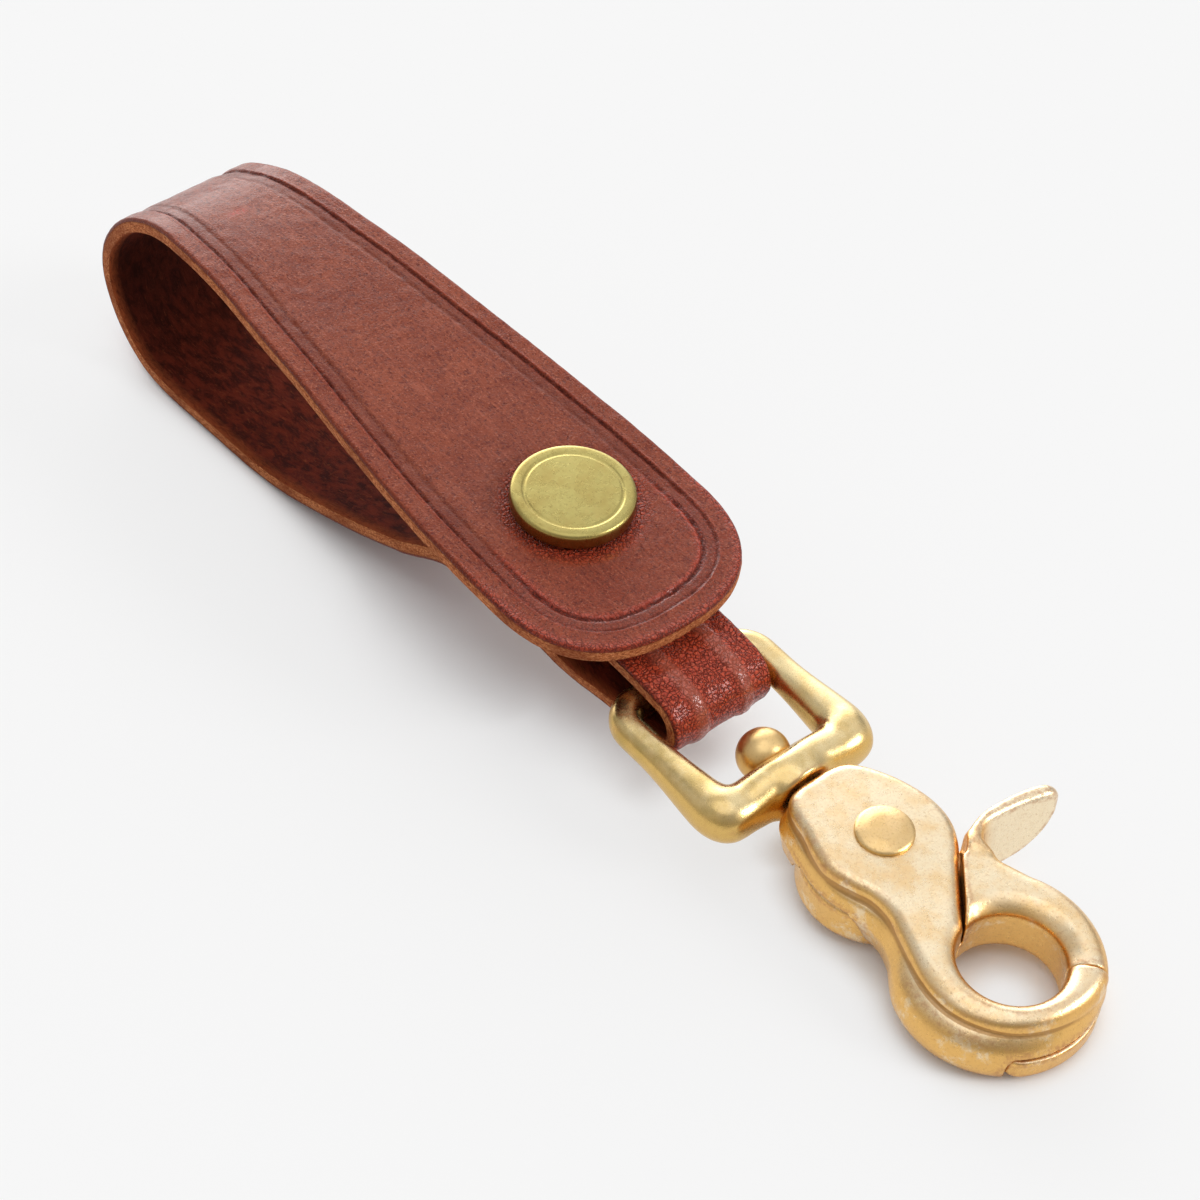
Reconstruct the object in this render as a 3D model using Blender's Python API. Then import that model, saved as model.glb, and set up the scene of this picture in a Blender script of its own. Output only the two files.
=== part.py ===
"""Leather key fob: a strap folded into a belt loop, a snap that closes it, and a swivel trigger hook.

Metres, +Z up. The origin is the centre of the snap cap's top face. +X runs along the strap
towards the hook, and the strap's centre line lies a little to the -Y side of the origin.
"""

import math

import bmesh
import bpy
from mathutils import Matrix, Vector

# Strap
LEATHER = 0.0024
LAYER_GAP = 0.0003
LOOP_REACH = 0.0882
LOOP_TOP = 0.0052
FLOOR_DROP = 0.025
STRAP_HALF_WIDTH = 0.0114
TAB_HALF_WIDTH = 0.0076
FLAP_HALF_WIDTH = 0.0163
FLAP_TIP = 0.0225
FLAP_TIP_LENGTH = 0.0168
FLAP_PITCH = math.radians(7.0)
TAIL_LENGTH = 0.0090
EDGE_CHAMFER = 0.0004
HINGE_GAP = 0.0003
STRAP_OFFSET = 0.0012
RING_OFFSET = 0.0015

# Snap, from the cap's face down
CAP_RADIUS = 0.0076
CAP_HEIGHT = 0.0023
CAP_RIM = 0.0007
SEAT_GAP = 0.00015
SNAP_GAP = 0.0027
SNAP_FLAT = 0.0085
BARREL_RADIUS = 0.0020
BARREL_WALL = 0.0005
BARREL_FLARE = 0.0003
BARREL_CURL = 0.00025
SOCKET_RADIUS = 0.0052
SOCKET_WALL = 0.00035
SOCKET_WELL = 0.0038
SOCKET_MOUTH = 0.0032
SOCKET_LIP = 0.0003
SOCKET_HEIGHT = 0.0016
SPRING_WIRE = 0.0002
STUD_PITCH = math.radians(4.0)
STUD_FLANGE = 0.0050
FLAT_MARGIN = 0.0012
STUD_LIP = 0.00285
STUD_NECK = 0.0025
STUD_PLATE = 0.0003
STUD_HEIGHT = 0.00145
POST_RADIUS = 0.0016
POST_FLANGE = 0.0046
POST_HEAD = 0.0005
PIN_GAP = 0.0003

# Swivel ring, along the line from its rear bar to the hook's nose
BAR_AHEAD = 0.0214
BAR_DROP = 0.0143
HOOK_PITCH = math.radians(6.0)
WIRE = 0.0020
WRAP_GAP = 0.0003
WRAP_AHEAD = 0.0034
WRAP_DROP = 0.0003
RING_INNER = 0.0082
REAR_CORNER = 0.0032
FRONT_CORNER = 0.0030
FRONT_BAR = 0.0193
FRONT_BAR_HALF = 0.0029
BOSS_HALF_HEIGHT = 0.0042
BOSS_SPREAD = 0.0070

# Swivel pin
BALL_RADIUS = 0.0031
BALL_AHEAD = 0.0146
PIN_RADIUS = 0.0016
RUNNING_GAP = 0.0001
BALL_GAP = 0.0003
PIN_REACH = 0.0236

# Trigger hook
NECK_GAP = 0.0003
HOOK_LENGTH = 0.0427
HOOK_HALF_THICKNESS = 0.0039
HOOK_EDGE = 0.0010
LEVER_EDGE = 0.0007
PLATE_HALF_WIDTH = 0.0086
SPLIT_DROP = 0.0004
PART_GAP = 0.00035
JAW_RADIUS = 0.0120
JAW_SIDE = 0.0003
EYE_RADIUS = 0.0061
EYE_SIDE = 0.0007
EYE_AHEAD = 0.0010
RIVET_SIDE = 0.0011
HUB_RADIUS = 0.0092
HUB_DROP = 0.0057
HUB_EDGE = 0.0008
NOSE_ANGLE = math.radians(40.0)
NOSE_SLANT = math.radians(4.0)
FINGER_ANGLE = math.radians(-41.0)
JAW_START_ANGLE = math.radians(-138.0)
SHOULDER_ANGLE = math.radians(118.0)
EYE_START_ANGLE = math.radians(-164.0)
HUB_START_ANGLE = math.radians(62.0)
TRIGGER_REACH = 0.0223
TRIGGER_THICKNESS = 0.0026
TRIGGER_TIP = 0.0009

# Pivot rivet and its torsion spring
RIVET_RADIUS = 0.0019
RIVET_HEAD_RADIUS = 0.0034
RIVET_HEAD = 0.0008
RIVET_FOOT_RADIUS = 0.0030
RIVET_FOOT = 0.0005
COIL_RADIUS = 0.0034
COIL_WIRE = 0.0003
COIL_PITCH = 0.0007
COIL_TURNS = 2.25
COIL_LEG = 0.0017
COIL_GAP = 0.0003
COIL_WEB = 0.0006

OVERRUN = 0.0020
ROUND_SEGMENTS = 40
SMALL_SEGMENTS = 28
SHARP_DEGREES = 34.0
STATION_TURN = math.radians(8.0)
STATION_LENGTH = 0.0050
LINE_SPACING = 0.0003

# Outer (grain) side of the strap, from behind the snap round the loop to the flap: each point
# is a share of LOOP_REACH behind the snap and a share of the loop's height above the floor.
LOOP_SHARES = (
    (0.217, 0.278), (0.316, 0.176), (0.417, 0.089), (0.506, 0.026),
    (0.580, 0.0), (0.670, 0.0), (0.761, 0.0), (0.841, 0.0), (0.908, 0.030),
    (0.954, 0.112), (0.985, 0.236), (1.0, 0.391), (0.991, 0.543), (0.958, 0.702),
    (0.905, 0.848), (0.843, 0.937), (0.790, 0.980), (0.735, 0.997), (0.677, 1.0),
    (0.622, 0.990), (0.505, 0.957), (0.397, 0.917), (0.290, 0.868), (0.199, 0.828),
)
BEND_SHARE = 11
HINGE_SHARE = 0.818

# Half widths, as (share of LOOP_REACH behind the snap, share of the full half width)
FLAP_WIDTH_SHARES = (
    (1.0, 0.613), (0.84, 0.62), (0.735, 0.668), (0.622, 0.712), (0.505, 0.785),
    (0.397, 0.834), (0.290, 0.896), (0.1875, 0.945), (0.09, 0.985), (0.0, 1.0), (-1.0, 1.0),
)
STRAP_WIDTH_SHARES = (
    (1.0, 0.877), (0.95, 0.90), (0.85, 0.965), (0.78, 0.985), (0.3, 1.0),
    (0.0, 1.0), (-0.14, 0.92), (-0.18, 0.90), (-1.0, 0.90),
)
SHOULDER_SHARES = (0.45, 0.90)
TIP_ROUNDNESS_SHARE = 2.5
TIP_SWEEP_SHARE = 0.97
WRAP_TOP_ANGLE = math.radians(84.0)
WRAP_BOTTOM_ANGLE = math.radians(-96.0)
# From under the ring's bar back to the snap: shares of BAR_AHEAD, and of the drop to the wrap's floor
UNDER_BAR_SHARES = ((0.99, 0.994), (0.82, 0.948), (0.66, 0.856), (0.50, 0.750))

# Hook plate outline: shares of the way from the neck's face to the jaw's centre, and of
# PLATE_HALF_WIDTH, first the edge away from the trigger and then the edge beside it.
PLATE_FAR_SHARES = (
    (0.0, -0.55), (0.035, -0.69), (0.12, -0.81), (0.21, -0.91), (0.33, -0.99), (0.43, -0.97),
    (0.51, -0.89), (0.575, -0.83), (0.635, -0.84),
)
PLATE_NEAR_SHARES = (
    (0.572, 0.72), (0.54, 0.85), (0.49, 0.98), (0.42, 1.06), (0.33, 1.06), (0.23, 0.98),
    (0.13, 0.87), (0.05, 0.72), (0.0, 0.55),
)
WEB_SIDE_SHARE = -0.24
RIVET_SHARE = 0.3583

# Thumb tab: shares of its thickness ahead of its root, and of its reach from the hook's centre line
TRIGGER_ROOT_SHARE = 0.45
TRIGGER_FRONT_SHARES = (
    (1.5, 0.415), (0.8, 0.425), (0.25, 0.47), (0.0, 0.54), (0.045, 0.64), (0.405, 0.80),
)
TRIGGER_TIP_SHARES = (0.9, 0.1)
TRIGGER_REAR_SHARES = ((-0.44, 0.80), (-0.8, 0.66), (-0.8, 0.54), (-0.6, 0.46))

# Rivet: shares of its head's radius and height, and the foot's narrow end
RIVET_HEAD_SHARES = ((0.6, 0.93), (0.87, 0.72), (1.0, 0.3), (1.0, 0.0))
RIVET_FOOT_SHARE = 0.85

BRASS = (0.66, 0.44, 0.16)
OLD_BRASS = (0.42, 0.36, 0.15)
STEEL = (0.55, 0.55, 0.56)
LEATHER_BROWN = (0.20, 0.045, 0.025)


def clear_scene():
    for obj in list(bpy.data.objects):
        bpy.data.objects.remove(obj, do_unlink=True)


def finish_material(obj, colour, metallic, roughness):
    material = bpy.data.materials.new(obj.name)
    material.use_nodes = True
    shader = material.node_tree.nodes["Principled BSDF"]
    shader.inputs["Base Color"].default_value = (*colour, 1.0)
    shader.inputs["Metallic"].default_value = metallic
    shader.inputs["Roughness"].default_value = roughness
    obj.data.materials.append(material)


def mesh_object(name, points, faces, parent=None):
    mesh = bpy.data.meshes.new(name)
    mesh.from_pydata([tuple(p) for p in points], [], faces)
    shaped = bmesh.new()
    shaped.from_mesh(mesh)
    bmesh.ops.recalc_face_normals(shaped, faces=shaped.faces)
    shaped.to_mesh(mesh)
    shaped.free()
    mesh.shade_smooth()
    mesh.set_sharp_from_angle(angle=math.radians(SHARP_DEGREES))
    obj = bpy.data.objects.new(name, mesh)
    bpy.context.scene.collection.objects.link(obj)
    obj.parent = parent
    return obj


def empty(name, matrix, parent=None):
    obj = bpy.data.objects.new(name, None)
    bpy.context.scene.collection.objects.link(obj)
    obj.parent = parent
    obj.matrix_local = matrix
    return obj


def cut(obj, cutter):
    """Takes the cutter's shape out of obj; the cutter stays as a hidden helper."""
    cutter.hide_render = True
    cutter.display_type = "WIRE"
    modifier = obj.modifiers.new("cut_" + cutter.name, "BOOLEAN")
    modifier.operation = "DIFFERENCE"
    modifier.solver = "EXACT"
    modifier.object = cutter


def join(obj, other):
    """Adds the other solid to obj; the other stays as a hidden helper."""
    other.hide_render = True
    other.display_type = "WIRE"
    modifier = obj.modifiers.new("join_" + other.name, "BOOLEAN")
    modifier.operation = "UNION"
    modifier.solver = "EXACT"
    modifier.object = other


def turned(name, profile, segments, parent=None, matrix=None):
    """A lathe solid about local Z from (radius, height) points; a radius of 0 closes on the axis."""
    points, rings = [], []
    for radius, height in profile:
        if radius == 0:
            rings.append([len(points)])
            points.append((0.0, 0.0, height))
            continue
        rings.append([len(points) + k for k in range(segments)])
        for k in range(segments):
            angle = 2 * math.pi * k / segments
            points.append((radius * math.cos(angle), radius * math.sin(angle), height))
    faces = []
    open_profile = profile[0][0] == 0
    pairs = zip(rings, rings[1:] if open_profile else rings[1:] + rings[:1])
    for low, high in pairs:
        for k in range(segments):
            n = (k + 1) % segments
            if len(low) == 1:
                faces.append((low[0], high[k], high[n]))
            elif len(high) == 1:
                faces.append((low[k], high[0], low[n]))
            else:
                faces.append((low[k], high[k], high[n], low[n]))
    obj = mesh_object(name, points, faces, parent)
    if matrix is not None:
        obj.matrix_local = matrix
    return obj


def cylinder(name, radius, low, high, parent=None, matrix=None, segments=SMALL_SEGMENTS):
    profile = ((0, low), (radius, low), (radius, high), (0, high))
    return turned(name, profile, segments, parent, matrix)


def between(value, low, high):
    """0 at low, 1 at high, with a smooth start and end."""
    share = min(1.0, max(0.0, (value - low) / (high - low)))
    return share * share * (3 - 2 * share)


def read_table(table, value):
    """Linear reading of ((value, result), ...), whose values fall."""
    for (high, at_high), (low, at_low) in zip(table, table[1:]):
        if value >= low:
            share = min(1.0, (high - value) / (high - low))
            return at_high + (at_low - at_high) * share
    return table[-1][1]


# Strap path, in the XZ plane


def turned_by(pitch, along, depth):
    """A point this far along and below a plane that is pitched down towards +X."""
    return Vector((
        along * math.cos(pitch) - depth * math.sin(pitch),
        -along * math.sin(pitch) - depth * math.cos(pitch),
    ))


def flap_point(along, depth):
    return turned_by(FLAP_PITCH, along, depth)


def tail_depth():
    return CAP_HEIGHT + LEATHER + SNAP_GAP


def stud_point(along, depth):
    """As flap_point, on the plane of the tail's upper face, which the stud stands on."""
    return flap_point(0.0, tail_depth()) + turned_by(STUD_PITCH, along, depth)


def loop_point(shares):
    back, height = shares
    return Vector((-back * LOOP_REACH, -FLOOR_DROP + height * (FLOOR_DROP + LOOP_TOP)))


def wrap_radius():
    return WIRE + WRAP_GAP + LEATHER


def wrap_centre():
    return Vector((BAR_AHEAD + WRAP_AHEAD, -BAR_DROP - WRAP_DROP))


def wrap_points(steps=12):
    """The grain side round the front of the ring's bar, and back under it."""
    points = arc(wrap_centre(), wrap_radius(), WRAP_TOP_ANGLE, WRAP_BOTTOM_ANGLE, steps)
    floor = wrap_centre().y - wrap_radius()
    return points + [Vector((x * BAR_AHEAD, z * floor)) for x, z in UNDER_BAR_SHARES]


def smooth_line(points, spacing):
    """A smooth curve through 2-D points, sampled about every spacing."""
    chords = [(b - a).length for a, b in zip(points, points[1:])]
    slopes = [(b - a) / c for a, b, c in zip(points, points[1:], chords)]
    tangents = [slopes[0]]
    for before, after, short, long in zip(slopes, slopes[1:], chords, chords[1:]):
        tangents.append((before * long + after * short) / (short + long))
    tangents.append(slopes[-1])
    line = []
    for i, chord in enumerate(chords):
        count = max(1, round(chord / spacing))
        for k in range(count):
            t = k / count
            line.append(
                points[i] * (2 * t**3 - 3 * t**2 + 1)
                + tangents[i] * chord * (t**3 - 2 * t**2 + t)
                + points[i + 1] * (3 * t**2 - 2 * t**3)
                + tangents[i + 1] * chord * (t**3 - t**2)
            )
    line.append(points[-1])
    return line


def thinned(line, most_turn, most_length):
    """Stations (point, direction) of a line, closer together where it bends."""
    directions = [(b - a).normalized() for a, b in zip(line, line[1:])]
    stations = [(line[0], directions[0])]
    turn = length = 0.0
    for i in range(1, len(line) - 1):
        turn += abs(directions[i - 1].angle_signed(directions[i]))
        length += (line[i] - line[i - 1]).length
        if turn > most_turn or length > most_length:
            stations.append((line[i], (directions[i - 1] + directions[i]).normalized()))
            turn = length = 0.0
    stations.append((line[-1], directions[-1]))
    return stations


def strap_stations(points):
    return thinned(smooth_line(points, LINE_SPACING), STATION_TURN, STATION_LENGTH)


def lower_points():
    """The grain side from the tail's end, round the ring's bar and the loop, to the hinge."""
    under = LEATHER + LAYER_GAP + LEATHER
    flat = STUD_FLANGE + FLAT_MARGIN
    ends = (-flat, -STUD_FLANGE, STUD_FLANGE, flat)
    points = [stud_point(-TAIL_LENGTH, 0.0)]
    points += [stud_point(along, 0.0) for along in ends]
    points += wrap_points()
    points += [stud_point(along, under) for along in reversed(ends)]
    points += [loop_point(s) for s in LOOP_SHARES[:BEND_SHARE + 1]]
    points += [loop_point(s) for s in LOOP_SHARES[BEND_SHARE + 1:] if s[0] > HINGE_SHARE]
    return points


def hinge_index():
    shares = [i for i, s in enumerate(LOOP_SHARES) if i > BEND_SHARE and s[0] > HINGE_SHARE]
    return shares[-1]


def hinge_point():
    """Where the strap hinges when the flap is lifted: on its grain side, above the bend."""
    return loop_point(LOOP_SHARES[hinge_index()])


def hinge_direction():
    behind, ahead = LOOP_SHARES[hinge_index() - 1], LOOP_SHARES[hinge_index() + 1]
    return (loop_point(ahead) - loop_point(behind)).normalized()


def upper_points():
    """The grain side from the hinge to the flap's tip."""
    points = [loop_point(s) for s in LOOP_SHARES[hinge_index():]]
    points[0] = hinge_point() + hinge_direction() * HINGE_GAP
    points += [flap_point(-SNAP_FLAT - LEATHER, CAP_HEIGHT), flap_point(-SNAP_FLAT, CAP_HEIGHT)]
    points += [flap_point(SNAP_FLAT, CAP_HEIGHT), flap_point(FLAP_TIP, CAP_HEIGHT)]
    return points


def lower_half_width(point, direction):
    """The tail and its wrap have the tab's width, and the strap widens behind the ring."""
    on_tail = direction.x > 0 and point.x > -LOOP_REACH / 2
    if on_tail or point.x > BAR_AHEAD:
        return TAB_HALF_WIDTH
    width = STRAP_HALF_WIDTH * read_table(STRAP_WIDTH_SHARES, -point.x / LOOP_REACH)
    if direction.x > 0:
        return FLAP_HALF_WIDTH * read_table(FLAP_WIDTH_SHARES, -point.x / LOOP_REACH)
    low, high = (share * BAR_AHEAD for share in SHOULDER_SHARES)
    share = between(point.x, low, high)
    return width + (TAB_HALF_WIDTH - width) * share


def flap_half_width(point, direction):
    width = FLAP_HALF_WIDTH * read_table(FLAP_WIDTH_SHARES, -point.x / LOOP_REACH)
    start = FLAP_TIP - FLAP_TIP_LENGTH
    share = min(1.0, max(0.0, (point.x - start) / FLAP_TIP_LENGTH))
    return width * (1 - share**TIP_ROUNDNESS_SHARE) ** (1 / TIP_ROUNDNESS_SHARE)


def ribbon(name, stations, half_width):
    """A leather strip with chamfered edges along the stations; its grain side is the left one."""
    points, faces = [], []
    sides = 8
    for point, direction in stations:
        normal = Vector((-direction.y, direction.x))
        half = half_width(point, direction)
        chamfer = min(EDGE_CHAMFER, half / 2)
        inner = half - chamfer
        section = (
            (-inner, 0.0), (inner, 0.0), (half, chamfer), (half, LEATHER - chamfer),
            (inner, LEATHER), (-inner, LEATHER), (-half, LEATHER - chamfer), (-half, chamfer),
        )
        for across, depth in section:
            at = point - normal * depth
            points.append((at.x, -STRAP_OFFSET + across, at.y))
    for i in range(len(stations) - 1):
        for k in range(sides):
            n = (k + 1) % sides
            a, b = i * sides, (i + 1) * sides
            faces.append((a + k, b + k, b + n, a + n))
    last = (len(stations) - 1) * sides
    faces.append(tuple(range(sides)))
    faces.append(tuple(last + k for k in reversed(range(sides))))
    return mesh_object(name, points, faces)


def tip_stations(stations):
    """Closer stations over the flap's rounded end, which stop just short of its tip."""
    start = FLAP_TIP - FLAP_TIP_LENGTH
    kept = [s for s in stations if s[0].x < start - STATION_LENGTH]
    direction = stations[-1][1]
    steps = 12
    for k in range(steps + 1):
        share = math.sin(math.pi / 2 * k / steps * TIP_SWEEP_SHARE)
        kept.append((flap_point(start + FLAP_TIP_LENGTH * share, CAP_HEIGHT), direction))
    return kept


def snap_matrix(pitch, at):
    """A frame with +Z up the snap's axis, on the part's own Y = 0 plane."""
    return Matrix.Translation((at.x, 0.0, at.y)) @ Matrix.Rotation(pitch, 4, "Y")


def make_strap():
    stations = strap_stations(lower_points())
    stations[-1] = (hinge_point(), hinge_direction())
    lower = ribbon("strap_lower", stations, lower_half_width)
    stations = tip_stations(strap_stations(upper_points()))
    stations[0] = (stations[0][0], hinge_direction())
    upper = ribbon("strap_flap", stations, flap_half_width)
    for obj in (lower, upper):
        finish_material(obj, LEATHER_BROWN, 0.0, 0.45)
    flap_hole = BARREL_RADIUS + PIN_GAP
    below = CAP_HEIGHT + LEATHER + OVERRUN / 2
    hole = cylinder("flap_hole", flap_hole, -below, 0.0, None, snap_matrix(FLAP_PITCH, Vector((0, 0))))
    cut(upper, hole)
    stack = LEATHER + LAYER_GAP + LEATHER
    seat = snap_matrix(STUD_PITCH, stud_point(0.0, 0.0))
    hole = cylinder("post_hole", POST_RADIUS + PIN_GAP, -stack - OVERRUN / 2, OVERRUN / 2, None, seat)
    cut(lower, hole)


# Snap, in frames with +Z up its axis


def make_cap(parent):
    under = -CAP_HEIGHT + SEAT_GAP
    flesh = -CAP_HEIGHT - LEATHER
    curl = flesh - SEAT_GAP - SOCKET_WALL - RUNNING_GAP
    end = curl - BARREL_CURL
    inner = BARREL_RADIUS - BARREL_WALL
    bore_end = -CAP_HEIGHT / 2
    profile = (
        (0, 0), (CAP_RADIUS - CAP_RIM, 0), (CAP_RADIUS - CAP_RIM / 3, -CAP_RIM / 3),
        (CAP_RADIUS, -CAP_RIM), (CAP_RADIUS, under / 2), (CAP_RADIUS - CAP_RIM / 2, under),
        (BARREL_RADIUS, under), (BARREL_RADIUS, curl), (BARREL_RADIUS + BARREL_FLARE, curl),
        (BARREL_RADIUS + BARREL_FLARE / 2, end), (inner, end), (inner, bore_end), (0, bore_end),
    )
    cap = turned("snap_cap", profile, ROUND_SEGMENTS, parent)
    finish_material(cap, OLD_BRASS, 1.0, 0.38)


def make_socket(parent):
    back = -CAP_HEIGHT - LEATHER - SEAT_GAP
    plate = back - SOCKET_WALL
    foot = back - SOCKET_HEIGHT
    hole = BARREL_RADIUS + RUNNING_GAP
    drum = SOCKET_WELL + SOCKET_WALL
    profile = (
        (hole, back), (SOCKET_RADIUS, back), (SOCKET_RADIUS, plate), (drum, plate),
        (drum, foot), (SOCKET_MOUTH, foot), (SOCKET_MOUTH, foot + SOCKET_LIP),
        (SOCKET_WELL, foot + SOCKET_LIP), (SOCKET_WELL, plate), (hole, plate),
    )
    socket = turned("snap_socket", profile, ROUND_SEGMENTS, parent)
    finish_material(socket, OLD_BRASS, 1.0, 0.4)
    return (plate + foot + SOCKET_LIP) / 2


def make_socket_spring(parent, height):
    """A split wire ring in the socket's well."""
    radius = SOCKET_WELL - SPRING_WIRE - SEAT_GAP
    split = math.radians(20.0)
    steps, sides = 30, 8
    points, faces = [], []
    for k in range(steps + 1):
        angle = split / 2 + (2 * math.pi - split) * k / steps
        for j in range(sides):
            round_wire = 2 * math.pi * j / sides
            out = radius + SPRING_WIRE * math.cos(round_wire)
            up = height + SPRING_WIRE * math.sin(round_wire)
            points.append((out * math.cos(angle), out * math.sin(angle), up))
    for k in range(steps):
        for j in range(sides):
            n = (j + 1) % sides
            a, b = k * sides, (k + 1) * sides
            faces.append((a + j, a + n, b + n, b + j))
    faces.append(tuple(reversed(range(sides))))
    faces.append(tuple(steps * sides + j for j in range(sides)))
    spring = mesh_object("socket_spring", points, faces, parent)
    finish_material(spring, STEEL, 1.0, 0.3)


def make_stud(parent):
    hole = POST_RADIUS + RUNNING_GAP
    plate = SEAT_GAP + STUD_PLATE
    lip = STUD_HEIGHT - SOCKET_LIP
    profile = (
        (hole, SEAT_GAP), (hole, STUD_HEIGHT), (STUD_LIP - SEAT_GAP, STUD_HEIGHT),
        (STUD_LIP, STUD_HEIGHT - SOCKET_LIP / 2), (STUD_LIP, lip), (STUD_NECK, lip - SOCKET_LIP / 2),
        (STUD_NECK, plate), (STUD_FLANGE, plate), (STUD_FLANGE, SEAT_GAP),
    )
    stud = turned("snap_stud", profile, ROUND_SEGMENTS, parent)
    finish_material(stud, OLD_BRASS, 1.0, 0.4)


def make_post(parent):
    under = -(LEATHER + LAYER_GAP + LEATHER) - SEAT_GAP
    top = STUD_HEIGHT - SOCKET_LIP
    foot = under - POST_HEAD
    profile = (
        (0, top), (POST_RADIUS, top), (POST_RADIUS, under), (POST_FLANGE, under),
        (POST_FLANGE, under - POST_HEAD / 2), (POST_FLANGE - POST_HEAD / 2, foot), (0, foot),
    )
    post = turned("snap_post", profile, ROUND_SEGMENTS, parent)
    finish_material(post, OLD_BRASS, 1.0, 0.38)


def make_snap():
    cap_frame = empty("cap_axis", snap_matrix(FLAP_PITCH, Vector((0, 0))))
    stud_frame = empty("stud_axis", snap_matrix(STUD_PITCH, stud_point(0.0, 0.0)))
    make_cap(cap_frame)
    spring_height = make_socket(cap_frame)
    make_socket_spring(cap_frame, spring_height)
    make_stud(stud_frame)
    make_post(stud_frame)


# Swivel ring: local +X runs from its rear bar to the hook, +Z is square to the ring


def ring_path():
    """Points round the ring's centre line, a rectangle with rounded corners, anticlockwise."""
    side = RING_INNER + WIRE
    corners = (
        (FRONT_BAR, -side, FRONT_CORNER, -90.0), (FRONT_BAR, side, FRONT_CORNER, 0.0),
        (0.0, side, REAR_CORNER, 90.0), (0.0, -side, REAR_CORNER, 180.0),
    )
    path = []
    steps = 5
    for x, y, radius, first in corners:
        inward_x = x - math.copysign(radius, x - FRONT_BAR / 2)
        inward_y = y - math.copysign(radius, y)
        path += arc(
            Vector((inward_x, inward_y)), radius, math.radians(first),
            math.radians(first) + math.pi / 2, steps,
        )
    whole = []
    straight = 4
    for i, point in enumerate(path):
        whole.append(point)
        following = path[(i + 1) % len(path)]
        if (following - point).length > FRONT_CORNER:
            whole += [point.lerp(following, k / (straight + 1)) for k in range(1, straight + 1)]
    return whole


def ring_section(point):
    """Half depth and half height of the ring at a point of its centre line."""
    forward = between(point.x, FRONT_BAR / 3, FRONT_BAR)
    half = WIRE + (FRONT_BAR_HALF - WIRE) * forward
    near_middle = 1 - between(abs(point.y), WIRE, BOSS_SPREAD)
    height = half + (BOSS_HALF_HEIGHT - half) * near_middle * forward
    return half, height


def make_ring(frame):
    path = ring_path()
    points, faces = [], []
    sides = 16
    count = len(path)
    for i, point in enumerate(path):
        along = (path[(i + 1) % count] - path[i - 1]).normalized()
        outward = Vector((along.y, -along.x))
        half, height = ring_section(point)
        for j in range(sides):
            angle = 2 * math.pi * j / sides
            out = half * math.cos(angle)
            points.append((
                point.x + outward.x * out, point.y + outward.y * out, height * math.sin(angle),
            ))
    for i in range(count):
        for j in range(sides):
            n = (j + 1) % sides
            a, b = i * sides, (i + 1) % count * sides
            faces.append((a + j, b + j, b + n, a + n))
    ring = mesh_object("swivel_ring", points, faces, frame)
    finish_material(ring, BRASS, 1.0, 0.3)
    lengthwise = Matrix.Rotation(math.radians(90.0), 4, "Y")
    front = FRONT_BAR + FRONT_BAR_HALF + OVERRUN
    bore = cylinder("pin_bore", PIN_RADIUS + RUNNING_GAP, BALL_AHEAD, front, frame, lengthwise)
    cut(ring, bore)
    cut(ring, ball("ball_seat", BALL_RADIUS + BALL_GAP, frame))
    flat = cylinder(
        "boss_face", BOSS_HALF_HEIGHT + OVERRUN, neck_face() - NECK_GAP, front, frame, lengthwise
    )
    cut(ring, flat)


def ball_profile(radius, centre, stem=0.0):
    """Half circle from the far pole to the near one, or to where a stem leaves the ball."""
    steps = 12
    end = math.pi if stem == 0 else math.pi - math.asin(stem / radius)
    return [
        (radius * math.sin(end * k / steps) if 0 < k / steps * end < math.pi else 0,
         centre - radius * math.cos(end * k / steps))
        for k in range(steps + 1)
    ]


def ball(name, radius, frame):
    lengthwise = Matrix.Rotation(math.radians(90.0), 4, "Y")
    return turned(name, ball_profile(radius, BALL_AHEAD), SMALL_SEGMENTS, frame, lengthwise)


def make_pin(frame):
    profile = ball_profile(BALL_RADIUS, BALL_AHEAD, PIN_RADIUS)
    profile += [(PIN_RADIUS, PIN_REACH), (0, PIN_REACH)]
    lengthwise = Matrix.Rotation(math.radians(90.0), 4, "Y")
    pin = turned("swivel_pin", profile, SMALL_SEGMENTS, frame, lengthwise)
    finish_material(pin, BRASS, 1.0, 0.3)


# Trigger hook: outlines in the ring's frame, seen from +Z


def neck_face():
    return FRONT_BAR + FRONT_BAR_HALF


def jaw_centre():
    return Vector((neck_face() + NECK_GAP + HOOK_LENGTH - JAW_RADIUS, JAW_SIDE))


def eye_centre():
    return jaw_centre() + Vector((EYE_AHEAD, EYE_SIDE))


def rivet_centre():
    start = neck_face() + NECK_GAP
    return Vector((start + RIVET_SHARE * (jaw_centre().x - start), RIVET_SIDE))


def arc(centre, radius, first, last, steps):
    """Points on a circle from angle first to angle last."""
    return [
        centre + radius * Vector((math.cos(a), math.sin(a)))
        for a in (first + (last - first) * k / steps for k in range(steps + 1))
    ]


def plate_points(shares):
    start = neck_face() + NECK_GAP
    length = jaw_centre().x - start
    return [Vector((start + x * length, JAW_SIDE + y * PLATE_HALF_WIDTH)) for x, y in shares]


def body_outline():
    """The hook body from above, anticlockwise: far edge, jaw, nose, eye, edge beside the lever."""
    outline = plate_points(PLATE_FAR_SHARES)
    outline += arc(jaw_centre(), JAW_RADIUS, JAW_START_ANGLE, NOSE_ANGLE, 22)
    outline += arc(eye_centre(), EYE_RADIUS, NOSE_ANGLE - NOSE_SLANT, EYE_START_ANGLE, 18)
    outline += plate_points(PLATE_NEAR_SHARES)
    return outline


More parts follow.
